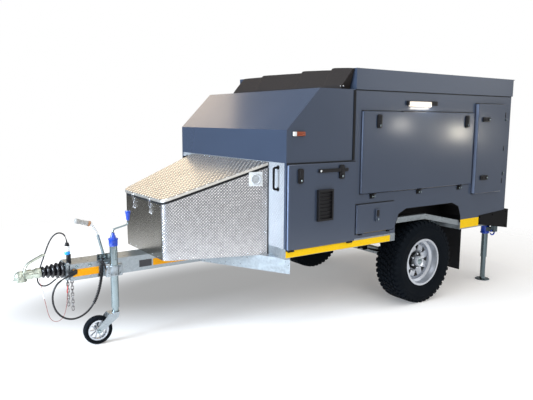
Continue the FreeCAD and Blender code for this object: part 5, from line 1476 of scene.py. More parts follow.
@dataclass
class SafetyChains:
    """Round-bar links that hang from two eyes under the drawbar."""

    x: float = 2.990
    y: float = 0.060
    links: int = 8
    pitch: float = 0.02685
    top: float = 0.4579
    bend: float = 0.009
    bar: float = 0.0035

    def build(self) -> Obj:
        """Make both chains in place of the simplified ones."""
        link = self.link()
        pieces = []
        for side in Side:
            for n in range(self.links):
                piece = copied(link)
                if n % 2 == 0:
                    piece.data.transform(Matrix.Rotation(math.pi / 2, 4, "Z"))
                at = axle(self.x, side.value * self.y, self.top - n * self.pitch)
                piece.data.transform(Matrix.Translation(at))
                pieces.append(piece)
            pieces.append(self.eye(side))
        bpy.data.objects.remove(link)
        chains = Shop.fit(smooth(joined("hanging_chains", pieces)), CHAIN_ZINC)
        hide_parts("safety_chains")
        return chains

    def link(self) -> Obj:
        """One link about the origin, long side upright."""
        half = (self.pitch - 0.0001) / 2 - (self.bend - self.bar)
        focus()
        bpy.ops.mesh.primitive_torus_add(major_radius=self.bend, minor_radius=self.bar, major_segments=20,
                                         minor_segments=10, rotation=(math.pi / 2, 0, 0))
        obj = named("link")
        with editing(obj):
            pick(obj, lambda middle, normal: middle.z > 0)
            bpy.ops.transform.translate(value=(0, 0, half))
            pick(obj, lambda middle, normal: middle.z < 0)
            bpy.ops.transform.translate(value=(0, 0, -half))
        return obj

    def eye(self, side: Side) -> Obj:
        """The eye that a chain hangs from."""
        at = axle(self.x, side.value * self.y, 0.478)
        rim = [(0.0066, -0.004), (0.0135, -0.004), (0.0145, -0.003), (0.0145, 0.003), (0.0135, 0.004),
               (0.0066, 0.004), (0.0066, -0.004)]
        ring = turned("eye", rim, at, (0, 1, 0), 28)
        neck = block("neck", at + Vector((-0.0125, -0.0036, 0.0085)), at + Vector((0.0125, 0.0036, 0.0185)))
        return joined("eye", [ring, soften(neck, 0.0008, 1)])


# Front box

@dataclass
class FrontBox:
    """Latches, vents, grab handles, hinge and rivets of the front box."""

    nose: float = 1.588
    front: float = 2.386
    top_rear: float = 1.373
    top_front: float = 1.100
    rear_half: float = 0.640
    front_half: float = 0.393
    floor_z: float = 0.622
    toggle_y: float = 0.170
    latch_z: float = 1.048
    vent: tuple[float, float] = (1.688, 1.236)
    grab_y: float = 0.770

    def build(self) -> None:
        """Make everything on the box."""
        grabs = [self.grab(side) for side in Side]
        grab = Shop.fit(joined("grab_handles", grabs), BLACK_STEEL)
        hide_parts("front_hardware")
        for side in Side:
            self.round_vent(side)
            self.latch(side)
        self.hinge()
        self.rivets()
        self.lid_rivets()
        for side in Side:
            self.edge_seal(side)

    @property
    def slope(self) -> float:
        """The plan angle of the side walls."""
        return math.atan2(self.rear_half - self.front_half, self.front - self.nose)

    def wall_y(self, x: float) -> float:
        """Half width of the box at x."""
        return self.rear_half - (x - self.nose) * math.tan(self.slope)

    def lid_z(self, x: float) -> float:
        """Height of the lid's top at x."""
        return self.top_rear + (self.top_front - self.top_rear) * (x - self.nose) / (self.front - self.nose)

    def grab(self, side: Side) -> Obj:
        """A bent tube handle on two round feet."""
        y = side.value * self.grab_y
        path = [axle(x, y, z) for x, z in (
            (1.587, 1.165), (1.612, 1.165), (1.630, 1.170), (1.630, 1.200), (1.630, 1.300), (1.630, 1.330),
            (1.612, 1.335), (1.587, 1.335))]
        bar = tube("grab_bar", path, 0.009, 5)
        foot = [(0.0, 0.004), (0.014, 0.004), (0.017, 0.002), (0.017, -0.0005), (0.0, -0.0005)]
        feet = [turned("grab_foot", foot, axle(self.nose, y, z), (1, 0, 0), 24) for z in (1.165, 1.335)]
        return joined("grab", [bar] + feet)

    def round_vent(self, side: Side) -> None:
        """A ring with slats on a square plate."""
        x, z = self.vent
        at = axle(x, side.value * self.wall_y(x), z)
        out = Vector((math.sin(self.slope), side.value * math.cos(self.slope), 0))
        yaw = -side.value * math.degrees(self.slope)
        plate = block("vent_plate_" + side.word, at + Vector((-0.056, -0.0006, -0.056)),
                      at + Vector((0.056, 0.0016, 0.056)))
        Shop.fit(turned_about(soften(plate, 0.0006, 1), at, yaw, "Z"), CLEAR_WHITE)
        rim = [(0.031, 0.002), (0.031, 0.010), (0.034, 0.0125), (0.040, 0.0125), (0.0445, 0.009),
               (0.0455, 0.001), (0.031, 0.001), (0.031, 0.002)]
        ring = turned("vent_ring", rim, at, out, 48)
        slats = []
        for n in range(5):
            dz = 0.011 * (n - 2)
            reach = math.sqrt(0.032 ** 2 - dz ** 2)
            slat = block("slat", at + Vector((-reach, 0.001, dz - 0.003)),
                         at + Vector((reach, 0.0085, dz + 0.003)))
            if side is Side.RIGHT:
                slat.data.transform(Matrix.Translation((0, -0.0095, 0)))
            slats.append(turned_about(soften(slat, 0.001, 1), at, yaw, "Z"))
        Shop.fit(joined("round_vent_" + side.word, [ring] + slats), VENT_CLEAR)

    def latch(self, side: Side) -> None:
        """A toggle latch: plate with rivets, lever and wire bail, and its hook on the lid."""
        y, z = side.value * self.toggle_y, self.latch_z

        def part(name: str, xs: Sequence[float], middle: float, half: float, low: float, high: float) -> Obj:
            """A block out from the box's front, across y and up from the latch's height."""
            return block(name, axle(self.front + xs[0], middle - half, z + low),
                         axle(self.front + xs[1], middle + half, z + high))

        plate = part("latch_plate", (-0.0004, 0.0022), y, 0.017, -0.090, 0.0)
        lever = part("latch_lever", (0.004, 0.016), y, 0.0115, -0.080, -0.022)
        squeezed(lever, (0, 0, -1), (0.5, 0.8, 1), (0.004, 0, 0))
        ears = [part("latch_ear", (0.002, 0.014), y + s * 0.0135, 0.0012, -0.052, -0.026) for s in (-1, 1)]
        half = ((0.010, 0.0135, -0.040), (0.013, 0.0140, 0.0), (0.0185, 0.0140, 0.036),
                (0.0185, 0.010, 0.0385))
        wire = [(x, -dy, dz) for x, dy, dz in half] + list(half[::-1])
        bail = tube("latch_bail", [axle(self.front + x, y + dy, z + dz) for x, dy, dz in wire], 0.0019, 2)
        pin = rod("latch_pin", axle(self.front + 0.010, y - 0.0165, z - 0.040),
                  axle(self.front + 0.010, y + 0.0165, z - 0.040), 0.003, sides=12)
        marks = [rivet(axle(self.front + 0.0022, y + s * 0.011, z + dz), (1, 0, 0))
                 for s in (-1, 1) for dz in (-0.008, -0.083)]
        pieces = [soften(plate, 0.001), soften(lever, 0.0035), bail, smooth(pin)] + marks
        pieces += [soften(ear, 0.0008, 1) for ear in ears]
        Shop.fit(joined("toggle_latch_" + side.word, pieces), CHROME)
        hook = block("latch_hook_" + side.word, axle(self.front + 0.0075, y - 0.012, 1.078),
                     axle(self.front + 0.0155, y + 0.012, 1.096))
        squeezed(hook, (1, 0, 0), (1, 1, 0.6))
        Shop.fit(soften(hook, 0.0015), CHROME, "toolbox_lid")

    def hinge(self) -> None:
        """The long knuckled hinge behind the lid."""
        knuckles = []
        for n in range(20):
            start = axle(1.5925, -0.600 + 0.060 * n, 1.366)
            knuckles.append(rod("knuckle", start, start + Vector((0, 0.0585, 0)), 0.0046, sides=16))
        Shop.fit(smooth(joined("box_hinge", knuckles)), BRIGHT_ZINC)

    def rivets(self) -> None:
        """Rivets along the foot of the walls and up the rear corners."""
        heads = []
        for side in Side:
            out = (math.sin(self.slope), side.value * math.cos(self.slope), 0)
            for n in range(7):
                x = 1.640 + 0.105 * n
                heads.append(rivet(axle(x, side.value * self.wall_y(x), self.floor_z + 0.016), out))
            for n in range(6):
                z = self.floor_z + 0.07 + 0.115 * n
                heads.append(rivet(axle(1.606, side.value * self.wall_y(1.606), z), out))
        for n in range(6):
            heads.append(rivet(axle(self.front, -0.28 + 0.112 * n, self.floor_z + 0.016), (1, 0, 0)))
        Shop.fit(joined("box_rivets", heads), CHROME)

    def lid_rivets(self) -> None:
        """The row of rivets that holds the lid to its hinge."""
        x, out = 1.612, (0.32, 0, 0.95)
        heads = [rivet(axle(x, -0.58 + 0.105 * n, self.lid_z(x)), out) for n in range(12)]
        Shop.fit(joined("lid_rivets", heads), CHROME, "toolbox_lid")

    def edge_seal(self, side: Side) -> None:
        """The dark seal between the box's side and the wall behind it."""
        ys = side.span(self.rear_half - 0.001, self.rear_half + 0.005)
        strip = block("box_edge_seal_" + side.word, axle(self.nose - 0.0004, ys[0], self.floor_z + 0.004),
                      axle(self.nose + 0.007, ys[1], self.top_rear - 0.050))
        Shop.fit(soften(strip, 0.0015), RUBBER)


# Doors

@dataclass(frozen=True)
class Pan:
    """A pan door on the left: rear and front x, low and high z, face, body, and its locks."""

    name: str
    span: tuple[float, float, float, float]
    face: float
    locks: tuple[tuple[float, float], ...]
    level: bool = False


PANS = (
    Pan("front_door", (0.878, 1.577, 0.695, 1.362), 0.8973, ((1.470, 1.272), (1.046, 1.287))),
    Pan("small_hatch", (0.403, 0.852, 0.745, 0.995), 0.8973, ((0.623, 0.891),)),
    Pan("big_hatch", (-0.672, 0.811, 1.085, 1.777), 0.8973, ((0.633, 1.692), (-0.555, 1.692))),
    Pan("rear_door", (-1.160, -0.718, 0.981, 1.866), 0.9133, ((-0.836, 1.713), (-0.848, 1.139)), True),
)


@dataclass
class Doors:
    """Seals round the pans, and the barrels and levers of the locks."""

    wall: float = 0.875
    seal: float = 0.007
    lock_h: float = 0.114
    lock_out: float = 0.014
    bar_end: Point = (1.272, 0.9133, 1.303)

    def build(self) -> None:
        """Dress both sides."""
        for pan in PANS:
            for side in Side:
                self.gasket(pan, side)
                self.lock_parts(pan, side)
                self.edge(pan, side)
        self.bar_lamp()

    def gasket(self, pan: Pan, side: Side) -> None:
        """The dark seal that shows round a pan."""
        x0, x1, z0, z1 = pan.span
        g = self.seal
        ring = frame_ring("seal_%s_%s" % (pan.name, side.word), axle(x0 - g, self.wall - 0.0004, z0 - g),
                          axle(x1 + g, self.wall + 0.0016, z1 + g), g - 0.0006)
        Shop.fit(mirrored(soften(ring, 0.0005, 1), side), RUBBER)

    def edge(self, pan: Pan, side: Side) -> None:
        """A painted highlight: a thin pale strip on a pan's front edge, standing in for the light that its
        rounded fold catches.
        """
        _, front, z0, z1 = pan.span
        body = "%s_%s" % (pan.name, side.word)
        strip = block("pan_edge_" + body, axle(front - 0.0003, self.wall + 0.002, z0 + 0.006),
                      axle(front + 0.0012, pan.face - 0.0055, z1 - 0.006))
        Shop.fit(mirrored(soften(strip, 0.0005), side), PAINTED_EDGE_HIGHLIGHT, body)

    def lock_parts(self, pan: Pan, side: Side) -> None:
        """Chrome barrels and the black paddles."""
        barrels, paddles = [], []
        barrel = [(0.0, 0.0012), (0.0048, 0.0012), (0.0060, 0.0020), (0.0080, 0.0014), (0.0090, 0.0),
                  (0.0090, -0.006), (0.0, -0.006)]
        drop, shift = 0.3 * self.lock_h, 0.018
        w, h = (0.050, 0.026) if pan.level else (0.030, 0.058)
        for x, z in pan.locks:
            middle = (x - drop, z) if pan.level else (x, z - drop)
            at = axle(middle[0], pan.face + 0.022, middle[1])
            barrels.append(turned("barrel", barrel, at, (0, 1, 0), 28))
            cx, cz = (x + shift, z) if pan.level else (x, z + shift)
            paddle = block("paddle", axle(cx - w / 2, pan.face + self.lock_out - 0.001, cz - h / 2),
                           axle(cx + w / 2, pan.face + self.lock_out + 0.005, cz + h / 2))
            squeezed(paddle, (0, 1, 0), (0.88, 1, 0.92))
            paddles.append(soften(paddle, 0.002))
        body = "%s_%s" % (pan.name, side.word)
        Shop.fit(mirrored(joined("lock_barrels_" + body, barrels), side), BRIGHT_ZINC, body)
        Shop.fit(mirrored(joined("lock_paddles_" + body, paddles), side), BLACK_PLASTIC, body)

    def bar_lamp(self) -> None:
        """The small lamp at the front end of each bar handle."""
        bulb = [(0.0, 0.004), (0.005, 0.0034), (0.008, 0.002), (0.0092, 0.0), (0.0092, -0.001), (0.0, -0.001)]
        for side in Side:
            lamp = turned("bar_lamp_" + side.word, bulb, axle(*self.bar_end), (0, 1, 0), 24)
            Shop.fit(mirrored(lamp, side), CLEAR_WHITE, "front_door_" + side.word)


# Lamps

@dataclass
class Lamps:
    """Side lamps, nose markers and tail lamps, with housings and lenses."""

    wall: float = 0.875
    side: tuple[float, float, float, float] = (-0.116, 0.281, 1.833, 1.873)
    lit: tuple[float, float] = (-0.030, 0.262)
    marker: tuple[float, float, float, float] = (1.419, 1.539, 1.575, 1.615)
    glow: float = 0.22
    glow_size: tuple[float, float] = (0.26, 0.02)
    tail_y: tuple[float, float] = (0.560, 0.800)
    tail_z: tuple[float, float] = (0.610, 0.690)
    tail_x: float = -1.367

    def build(self) -> None:
        """Make every lamp."""
        housings = []
        for side in Side:
            housings += self.side_lamp(side) + self.marker_lamp(side) + self.tail_lamp(side)
        house = Shop.fit(joined("lamp_housings", housings), BLACK_PLASTIC)
        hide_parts("lamps")

    def pad(self, name: str, side: Side, span: Sequence[float], y0: float, y1: float, bevel: float) -> Obj:
        """A bevelled block on the side wall."""
        ys = side.span(y0, y1)
        return soften(block(name, axle(span[0], ys[0], span[2]), axle(span[1], ys[1], span[3])), bevel, 3)

    def side_lamp(self, side: Side) -> list[Obj]:
        """The awning lamp above the large hatch."""
        x0, x1, z0, z1 = self.side
        lens = self.pad("side_lens_" + side.word, side, (self.lit[0], self.lit[1], z0 - 0.012, z1 - 0.006),
                        self.wall + 0.006, self.wall + 0.0255, 0.006)
        Shop.fit(lens, WHITE_LAMP)
        focus()
        under = axle(sum(self.lit) / 2 - 0.08, side.value * (self.wall + 0.060), z0 - 0.024)
        bpy.ops.object.light_add(type="AREA", location=under)
        glow = bpy.context.object
        glow.name = "awning_glow_" + side.word
        glow.data.shape = "RECTANGLE"
        glow.data.size, glow.data.size_y = self.glow_size
        glow.data.energy = self.glow
        glow.data.color = (1.0, 0.93, 0.82)
        glow.rotation_euler = Vector((0, -side.value, -0.5)).to_track_quat("-Z", "Y").to_euler()
        spans = ((x0, self.lit[0] + 0.002, z0, z1), (self.lit[1] - 0.002, x1, z0, z1))
        ends = [self.pad("side_end", side, span, self.wall - 0.0002, self.wall + 0.024, 0.006)
                for span in spans]
        back = self.pad("side_back", side, (x0 + 0.004, x1 - 0.004, z0 + 0.001, z1 - 0.001),
                        self.wall - 0.0002, self.wall + 0.008, 0.002)
        return ends + [back]

    def marker_lamp(self, side: Side) -> list[Obj]:
        """Amber marker on the nose, its front third clear."""
        x0, x1, z0, z1 = self.marker
        split = x1 - 0.036
        cells = (("marker_lens_", x0 + 0.003, split, 0.023, AMBER_LAMP),
                 ("marker_clear_", split + 0.001, x1 - 0.003, 0.022, CLEAR_WHITE))
        for name, low, high, out, finish in cells:
            lens = self.pad(name + side.word, side, (low, high, z0 + 0.003, z1 - 0.003),
                            self.wall + 0.005, self.wall + out, 0.005)
            Shop.fit(lens, finish)
        return [self.pad("marker_base", side, (x0, x1, z0, z1), self.wall - 0.0002, self.wall + 0.007, 0.002)]

    def tail_lamp(self, side: Side) -> list[Obj]:
        """Tail lamp: black tray with a red, an amber and a clear lens."""
        y0, y1 = self.tail_y
        z0, z1 = self.tail_z
        xs = self.tail_x
        cells = ((RED_LAMP, y1 - 0.098, y1 - 0.004), (AMBER_LAMP, y0 + 0.062, y1 - 0.100),
                 (CLEAR_WHITE, y0 + 0.004, y0 + 0.060))
        for n, (finish, a, b) in enumerate(cells):
            ys = side.span(a, b)
            lens = block("tail_lens_%d_%s" % (n, side.word), axle(xs - 0.0015, ys[0], z0 + 0.004),
                         axle(xs + 0.012, ys[1], z1 - 0.004))
            Shop.fit(soften(lens, 0.003, 3), finish)
        ys = side.span(y0 + 0.0003, y1 - 0.0003)
        tray = block("tail_tray", axle(xs + 0.002, ys[0], z0 + 0.0003), axle(xs + 0.033, ys[1], z1 - 0.0003))
        return [soften(tray, 0.002)]


# Coupling end

@dataclass
class CouplingEnd:
    """Gaiter, bolts, handbrake grip and connector of the coupling."""

    base_x: float = 3.033
    front_x: float = 3.199
    axis_z: float = 0.568
    big: float = 0.064
    small: float = 0.044
    depth: float = 0.016
    folds: int = 5
    ball: Point = (3.342, 0.0, 0.557)
    tip: float = 3.397
    brake_y: float = 0.060
    knee: tuple[float, float] = (2.782, 0.815)
    elbow: tuple[float, float] = (2.842, 0.912)
    grip: tuple[tuple[float, float], tuple[float, float]] = ((2.838, 0.908), (2.944, 0.941))
    socket: tuple[float, float, float] = (3.005, 0.022, 0.775)

    def build(self) -> None:
        """Make the coupling's visible parts."""
        self.gaiter()
        self.head()
        self.bolts()
        self.brake()
        self.connector()

    def gaiter(self) -> None:
        """Rubber gaiter with rounded folds that grow towards the rear."""
        step = (self.front_x - self.base_x) / self.folds
        rise = ((-0.46, 0.0), (-0.34, 0.30), (-0.22, 0.72), (-0.12, 0.94))
        shape = rise + ((0.0, 1.0),) + tuple((-along, height) for along, height in reversed(rise))
        profile = [(0.0, 0.0), (self.big - self.depth, 0.0)]
        for n in range(self.folds):
            crown = self.big + (self.small - self.big) * n / (self.folds - 1)
            for along, height in shape:
                profile.append((crown - self.depth * (1 - height), (n + 0.5 + along) * step))
        end = self.front_x - self.base_x
        profile += [(self.small - self.depth, end), (0.0, end)]
        gaiter = turned("gaiter", profile, axle(self.base_x, 0, self.axis_z), (1, 0, 0), 56)
        Shop.fit(smooth(gaiter, 60), GLOSS_RUBBER)
        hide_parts("coupling_bellows")
        bands = []
        for x, r in ((self.base_x + 0.003, self.big - self.depth + 0.003), (self.front_x - 0.0075, 0.0315)):
            hoop = [(r - 0.004, -0.003), (r, -0.003), (r, 0.003), (r - 0.004, 0.003), (r - 0.004, -0.003)]
            bands.append(turned("band", hoop, axle(x, 0, self.axis_z), (1, 0, 0), 40))
        Shop.fit(joined("gaiter_bands", bands), BLACK_PLASTIC)

    def head(self) -> None:
        """Ball coupling: collar and neck, hollow cup, lip, housing and the bent handle."""
        collar = [(0.0, 0.0), (0.0355, 0.0), (0.038, 0.003), (0.038, 0.032), (0.0345, 0.037), (0.0345, 0.041),
                  (0.031, 0.046), (0.0295, 0.080), (0.026, 0.095), (0.0, 0.095)]
        neck = turned("neck", collar, axle(self.front_x, 0, self.axis_z), (1, 0, 0), 40)
        r, bore = 0.042, 0.0252
        arcs = [math.radians(10 * n) for n in range(10)]
        profile = [(bore, -0.034), (0.046, -0.034), (0.0475, -0.030), (0.0465, -0.024), (r + 0.0005, -0.020)]
        profile += [(r * math.cos(a), r * math.sin(a)) for a in arcs[:-1]] + [(0.0, r), (0.0, bore)]
        profile += [(bore * math.cos(a), bore * math.sin(a)) for a in reversed(arcs[:-1])] + [(bore, -0.034)]
        cup = turned("cup", profile, axle(*self.ball), (0, 0, 1), 44)
        x, _, z = self.ball
        lip = block("lip", axle(x + 0.040, -0.026, z - 0.034), axle(self.tip, 0.026, z - 0.023))
        squeezed(lip, (1, 0, 0), (1, 0.42, 1))
        body = block("body", axle(x - 0.083, -0.027, z - 0.024), axle(x - 0.018, 0.027, z + 0.043))
        squeezed(body, (1, 0, 0), (1, 0.9, 0.86))
        handle = strap("handle", [(px + AXLE_X, pz) for px, pz in (
            (3.313, 0.590), (3.306, 0.620), (3.284, 0.648), (3.246, 0.668), (3.205, 0.686), (3.176, 0.700),
            (3.164, 0.697))], 0.0, 0.034, 0.014)
        pivot = rod("pivot", axle(3.306, -0.033, 0.604), axle(3.306, 0.033, 0.604), 0.006, sides=16)
        pieces = [neck, cup, soften(lip, 0.003), soften(body, 0.007, 3), handle, smooth(pivot)]
        head = Shop.fit(joined("ball_coupling", pieces), YELLOW_ZINC)
        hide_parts("coupling_head")

    def bolts(self) -> None:
        """Bolts of the flange and of the drawbar."""
        pieces = [bolt("flange_bolt", axle(self.base_x, y, z), (1, 0, 0), 0.009, 0.007)
                  for y in (-0.066, 0.066) for z in (0.514, 0.612)]
        pieces += [bolt("drawbar_bolt", axle(x, side * 0.100, 0.600), (0, side, 0), 0.010, 0.008)
                   for side in (-1, 1) for x in (2.86, 2.96)]
        Shop.fit(joined("coupling_bolts", pieces), BRIGHT_ZINC)

    def brake(self) -> None:
        """Handbrake: fluted sleeve, ring, grip and pivot bolts."""
        low, high = (axle(x, self.brake_y, z) for x, z in (self.knee, self.elbow))
        up = (high - low).normalized()
        length = (high - low).length
        profile, steps = [(0.0105, 0.004)], 7
        for n in range(steps):
            h = 0.006 + (length - 0.006) * (n + 0.5) / steps
            r = 0.0125 + 0.0065 * n / steps
            profile += [(r, h - 0.005), (r + 0.0024, h - 0.002), (r + 0.0024, h + 0.002), (r, h + 0.005)]
        profile += [(0.0105, length + 0.001), (0.0105, 0.004)]
        Shop.fit(turned("brake_sleeve", profile, low, up, 28), CLEAR_WHITE)
        start, end = (axle(x, self.brake_y, z) for x, z in self.grip)
        along = (end - start).normalized()
        reach = (end - start).length
        shape = [(0.0, -0.002), (0.014, -0.002), (0.0165, 0.002)]
        shape += [(0.0172 + 0.0026 * math.sin(n * math.pi / 2), 0.022 + n * 0.0074) for n in range(11)]
        shape += [(0.0205, reach - 0.004), (0.017, reach + 0.004), (0.0, reach + 0.005)]
        Shop.fit(turned("brake_grip", shape, start, along, 32), GREY_GRIP)
        hoop = [(0.014, 0.0), (0.0205, 0.001), (0.0215, 0.010), (0.0195, 0.019), (0.014, 0.020), (0.014, 0.0)]
        ring = turned("brake_ring", hoop, start - along * 0.002, along, 32)
        Shop.fit(ring, COPPER_RING)
        pivots = [bolt("pivot", axle(2.738, self.brake_y + s * 0.014, 0.642), (0, s, 0), 0.010, 0.007)
                  for s in (-1, 1)]
        Shop.fit(joined("brake_pivot", pivots), BRIGHT_ZINC)

    def connector(self) -> None:
        """Socket on its post: blue base, clear body and black boot."""
        x, y, z = self.socket
        foot = axle(x, y, z - 0.090)
        base = [(0.0168, 0.0), (0.0205, 0.0), (0.0215, 0.004), (0.0215, 0.018), (0.0185, 0.023),
                (0.0168, 0.023), (0.0168, 0.0)]
        ribs = [(0.0168, 0.024)]
        for n in range(5):
            h = 0.026 + n * 0.008
            ribs += [(0.0182, h), (0.0194, h + 0.002), (0.0194, h + 0.004), (0.0182, h + 0.006)]
        ribs += [(0.0168, 0.066), (0.0168, 0.024)]
        boot = [(0.0122, 0.067), (0.0185, 0.067), (0.0185, 0.071), (0.0150, 0.078), (0.0150, 0.082),
                (0.0125, 0.086), (0.0128, 0.089), (0.0122, 0.0895), (0.0122, 0.067)]
        for name, profile, finish in (("base", base, LIGHT_BLUE), ("body", ribs, CLEAR_WHITE),
                                      ("boot", boot, RUBBER)):
            Shop.fit(turned("socket_" + name, profile, foot, (0, 0, 1), 32), finish)


# Jockey wheel

@dataclass
class JockeyWheel:
    """Outer tube, clamp, blue cap, crank and wheel of the jockey."""

    x: float = 2.705
    y: float = 0.184
    low: float = 0.262
    top: float = 0.745
    radius: float = 0.030
    slot: tuple[float, float] = (0.640, 0.715)
    sleeve_z: tuple[float, float] = (0.515, 0.595)
    wheel_x: float = 2.847
    wheel_r: float = 0.110
    spokes: int = 10

    def build(self) -> None:
        """Make the jockey's parts."""
        tube_piece = self.outer_tube()
        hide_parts("jockey_tube")
        self.clamp()
        self.crank()
        self.wheel()

    @property
    def foot(self) -> Vector:
        """The tube's axis at the floor."""
        return axle(self.x, self.y, 0.0)

    def outer_tube(self) -> Obj:
        """Tube open at its foot, with a slot near its top."""
        r = self.radius
        inside = r - 0.0055
        profile = [(inside, self.low), (r, self.low), (r, self.slot[0]), (r, self.slot[1]), (r, self.top),
                   (0.0, self.top), (0.0, self.top - 0.024), (inside, self.top - 0.024), (inside, self.low)]
        obj = turned("jockey_outer_tube", profile, self.foot, (0, 0, 1), 48)
        middle = self.foot
        with editing(obj):
            pick(obj, lambda at, normal: self.slot[0] < at.z < self.slot[1] and normal.y > 0.96
                 and (at - middle).xy.length > r * 0.9)
            bpy.ops.mesh.inset(thickness=0.0008, depth=-0.004)
        return Shop.fit(smooth(obj, 30), BRIGHT_ZINC)

    def clamp(self) -> None:
        """Cast clamp on the drawbar with its screw and T-handle."""
        low, high = self.sleeve_z
        r = self.radius
        wall = r + 0.008
        rim = [(r, low), (wall, low), (wall + 0.002, low + 0.006), (wall, low + 0.012), (wall, high - 0.012),
               (wall + 0.002, high - 0.006), (wall, high), (r, high), (r, low)]
        ring = turned("sleeve", rim, self.foot, (0, 0, 1), 40)
        plate = block("plate", axle(self.x - 0.045, 0.0998, 0.505), axle(self.x + 0.045, 0.108, 0.605))
        web = block("web", axle(self.x - 0.016, 0.107, low), axle(self.x + 0.016, self.y - r, high))
        squeezed(web, (0, -1, 0), (1.9, 1, 1))
        saddle = block("saddle", axle(self.x - 0.066, self.y - 0.012, low - 0.010),
                       axle(self.x + 0.066, self.y + 0.020, high + 0.010))
        squeezed(saddle, (0, 1, 0), (0.92, 1, 0.86))
        bolts = [bolt("clamp_bolt", axle(self.x + dx, 0.108, z), (0, 1, 0), 0.008, 0.006)
                 for dx in (-0.033, 0.033) for z in (0.520, 0.590)]
        bolts += [bolt("flange_bolt", axle(self.x + dx, self.y + 0.020, z), (0, 1, 0), 0.0085, 0.008)
                  for dx in (-0.047, 0.047) for z in (low + 0.016, high - 0.016)]
        pieces = [ring, soften(plate, 0.004), soften(web, 0.003), soften(saddle, 0.006, 3)] + bolts
        Shop.fit(joined("jockey_clamp", pieces), GALVANISED)
        foot = axle(self.x + r + 0.006, self.y, 0.600)
        Shop.fit(smooth(rod("clamp_screw", foot, foot + Vector((0.034, 0, 0)), 0.006)), CHROME)
        bend = ((0.022, 0.006, -0.034), (0.028, 0.004, -0.020), (0.034, 0.0, 0.0), (0.042, -0.003, 0.024),
                (0.052, -0.006, 0.044))
        bar = tube("t_handle", [foot + Vector(p) for p in bend], 0.0075)
        Shop.fit(bar, BLACK_PLASTIC)

    def crank(self) -> None:
        """Flared blue cap with its cone, chrome crank and blue grip."""
        top = axle(self.x, self.y, self.top)
        dome = [(0.0, -0.0005), (0.0315, -0.0005), (0.0335, 0.003), (0.0335, 0.044), (0.0375, 0.047),
                (0.0375, 0.056), (0.0345, 0.058), (0.026, 0.058), (0.023, 0.062), (0.019, 0.078),
                (0.014, 0.086), (0.0125, 0.100), (0.0, 0.101)]
        cap = turned("jockey_cap", dome, top, (0, 0, 1), 40)
        with editing(cap):
            pick(cap, lambda at, normal: abs(normal.z) < 0.2 and top.z + 0.003 < at.z < top.z + 0.044)
            bpy.ops.mesh.inset(thickness=0.0007, depth=-0.0012, use_individual=True)
        Shop.fit(cap, BLUE)
        arm = ((0, 0, 0.096), (0, 0, 0.122), (-0.014, 0, 0.130), (-0.060, 0, 0.140), (-0.104, 0, 0.150),
               (-0.120, 0, 0.158), (-0.121, 0, 0.180), (-0.122, 0, 0.262))
        path = [top + Vector(p) for p in arm]
        Shop.fit(tube("jockey_crank_arm", path, 0.0075, 5), BRIGHT_ZINC)
        grip = [(0.0078, 0.0), (0.0110, 0.0), (0.0125, 0.004), (0.0130, 0.020), (0.0165, 0.045),
                (0.0200, 0.058), (0.0210, 0.066), (0.0190, 0.072), (0.0, 0.0735), (0.0, 0.068),
                (0.0078, 0.064), (0.0078, 0.0)]
        knob = turned("crank_grip", grip, top + Vector((-0.1215, 0, 0.186)), (0, 0, 1), 32)
        Shop.fit(knob, BLUE)

    def wheel(self) -> None:
        """Tyre with a rounded tread and a rim with many thin spokes."""
        at = axle(self.wheel_x, self.y, self.wheel_r)
        r = self.wheel_r
        side = [(0.0762, 0.018), (0.080, 0.023), (0.088, 0.0275), (0.096, 0.0285), (0.1025, 0.026),
                (0.1065, 0.0215), (0.1088, 0.014), (r, 0.006)]
        profile = [(a, -b) for a, b in side] + side[::-1]
        tyre = turned("jockey_wheel_tyre", profile + profile[:1], at, (0, 1, 0), 64)
        with editing(tyre):
            pick(tyre, lambda middle, normal: (middle - at).length > r - 0.002)
            bpy.ops.mesh.inset(thickness=0.0012, depth=-0.0012)
        Shop.fit(tyre, TYRE_RUBBER, "jockey_wheel")
        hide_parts("jockey_tyre")
        lips = [(0.068, 0.020), (0.0765, 0.020), (0.0785, 0.0235), (0.0795, 0.0225), (0.0765, 0.017)]
        lips = [(a, -b) for a, b in lips] + lips[::-1]
        ring = turned("ring", lips + [(0.0705, 0.012), (0.0705, -0.012), (0.068, -0.020)], at, (0, 1, 0), 56)
        half = [(0.0081, 0.032), (0.014, 0.032), (0.0145, 0.024), (0.020, 0.020), (0.022, 0.006)]
        half = [(a, -b) for a, b in half] + half[::-1]
        hub = turned("hub", half + half[:1], at, (0, 1, 0), 40)
        spoke = block("spoke", at + Vector((0.018, -0.0075, -0.0026)),
                      at + Vector((0.0715, 0.0075, 0.0026)))
        with editing(spoke):
            pick(spoke, facing((1, 0, 0)))
            bpy.ops.transform.resize(value=(1, 1.5, 1.35))
            pick(spoke, lambda middle, normal: abs(normal.y) > 0.9)
            bpy.ops.mesh.inset(thickness=0.0012, depth=-0.0018)
        spokes = [soften(spoke, 0.0006, 1)]
        for n in range(1, self.spokes):
            spokes.append(turned_about(copied(spokes[0]), at, 360.0 * n / self.spokes, "Y"))
        rim = Shop.fit(joined("jockey_wheel_rim", [ring, hub] + spokes), WHEEL_SILVER, "jockey_wheel")
        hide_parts("jockey_rim")
        nuts = [bolt("axle_nut", at + Vector((0, s * 0.0425, 0)), (0, s, 0), 0.013, 0.009) for s in (-1, 1)]
        Shop.fit(joined("jockey_axle_nuts", nuts), BRIGHT_ZINC, "jockey_fork")


# Drawbar and rear end

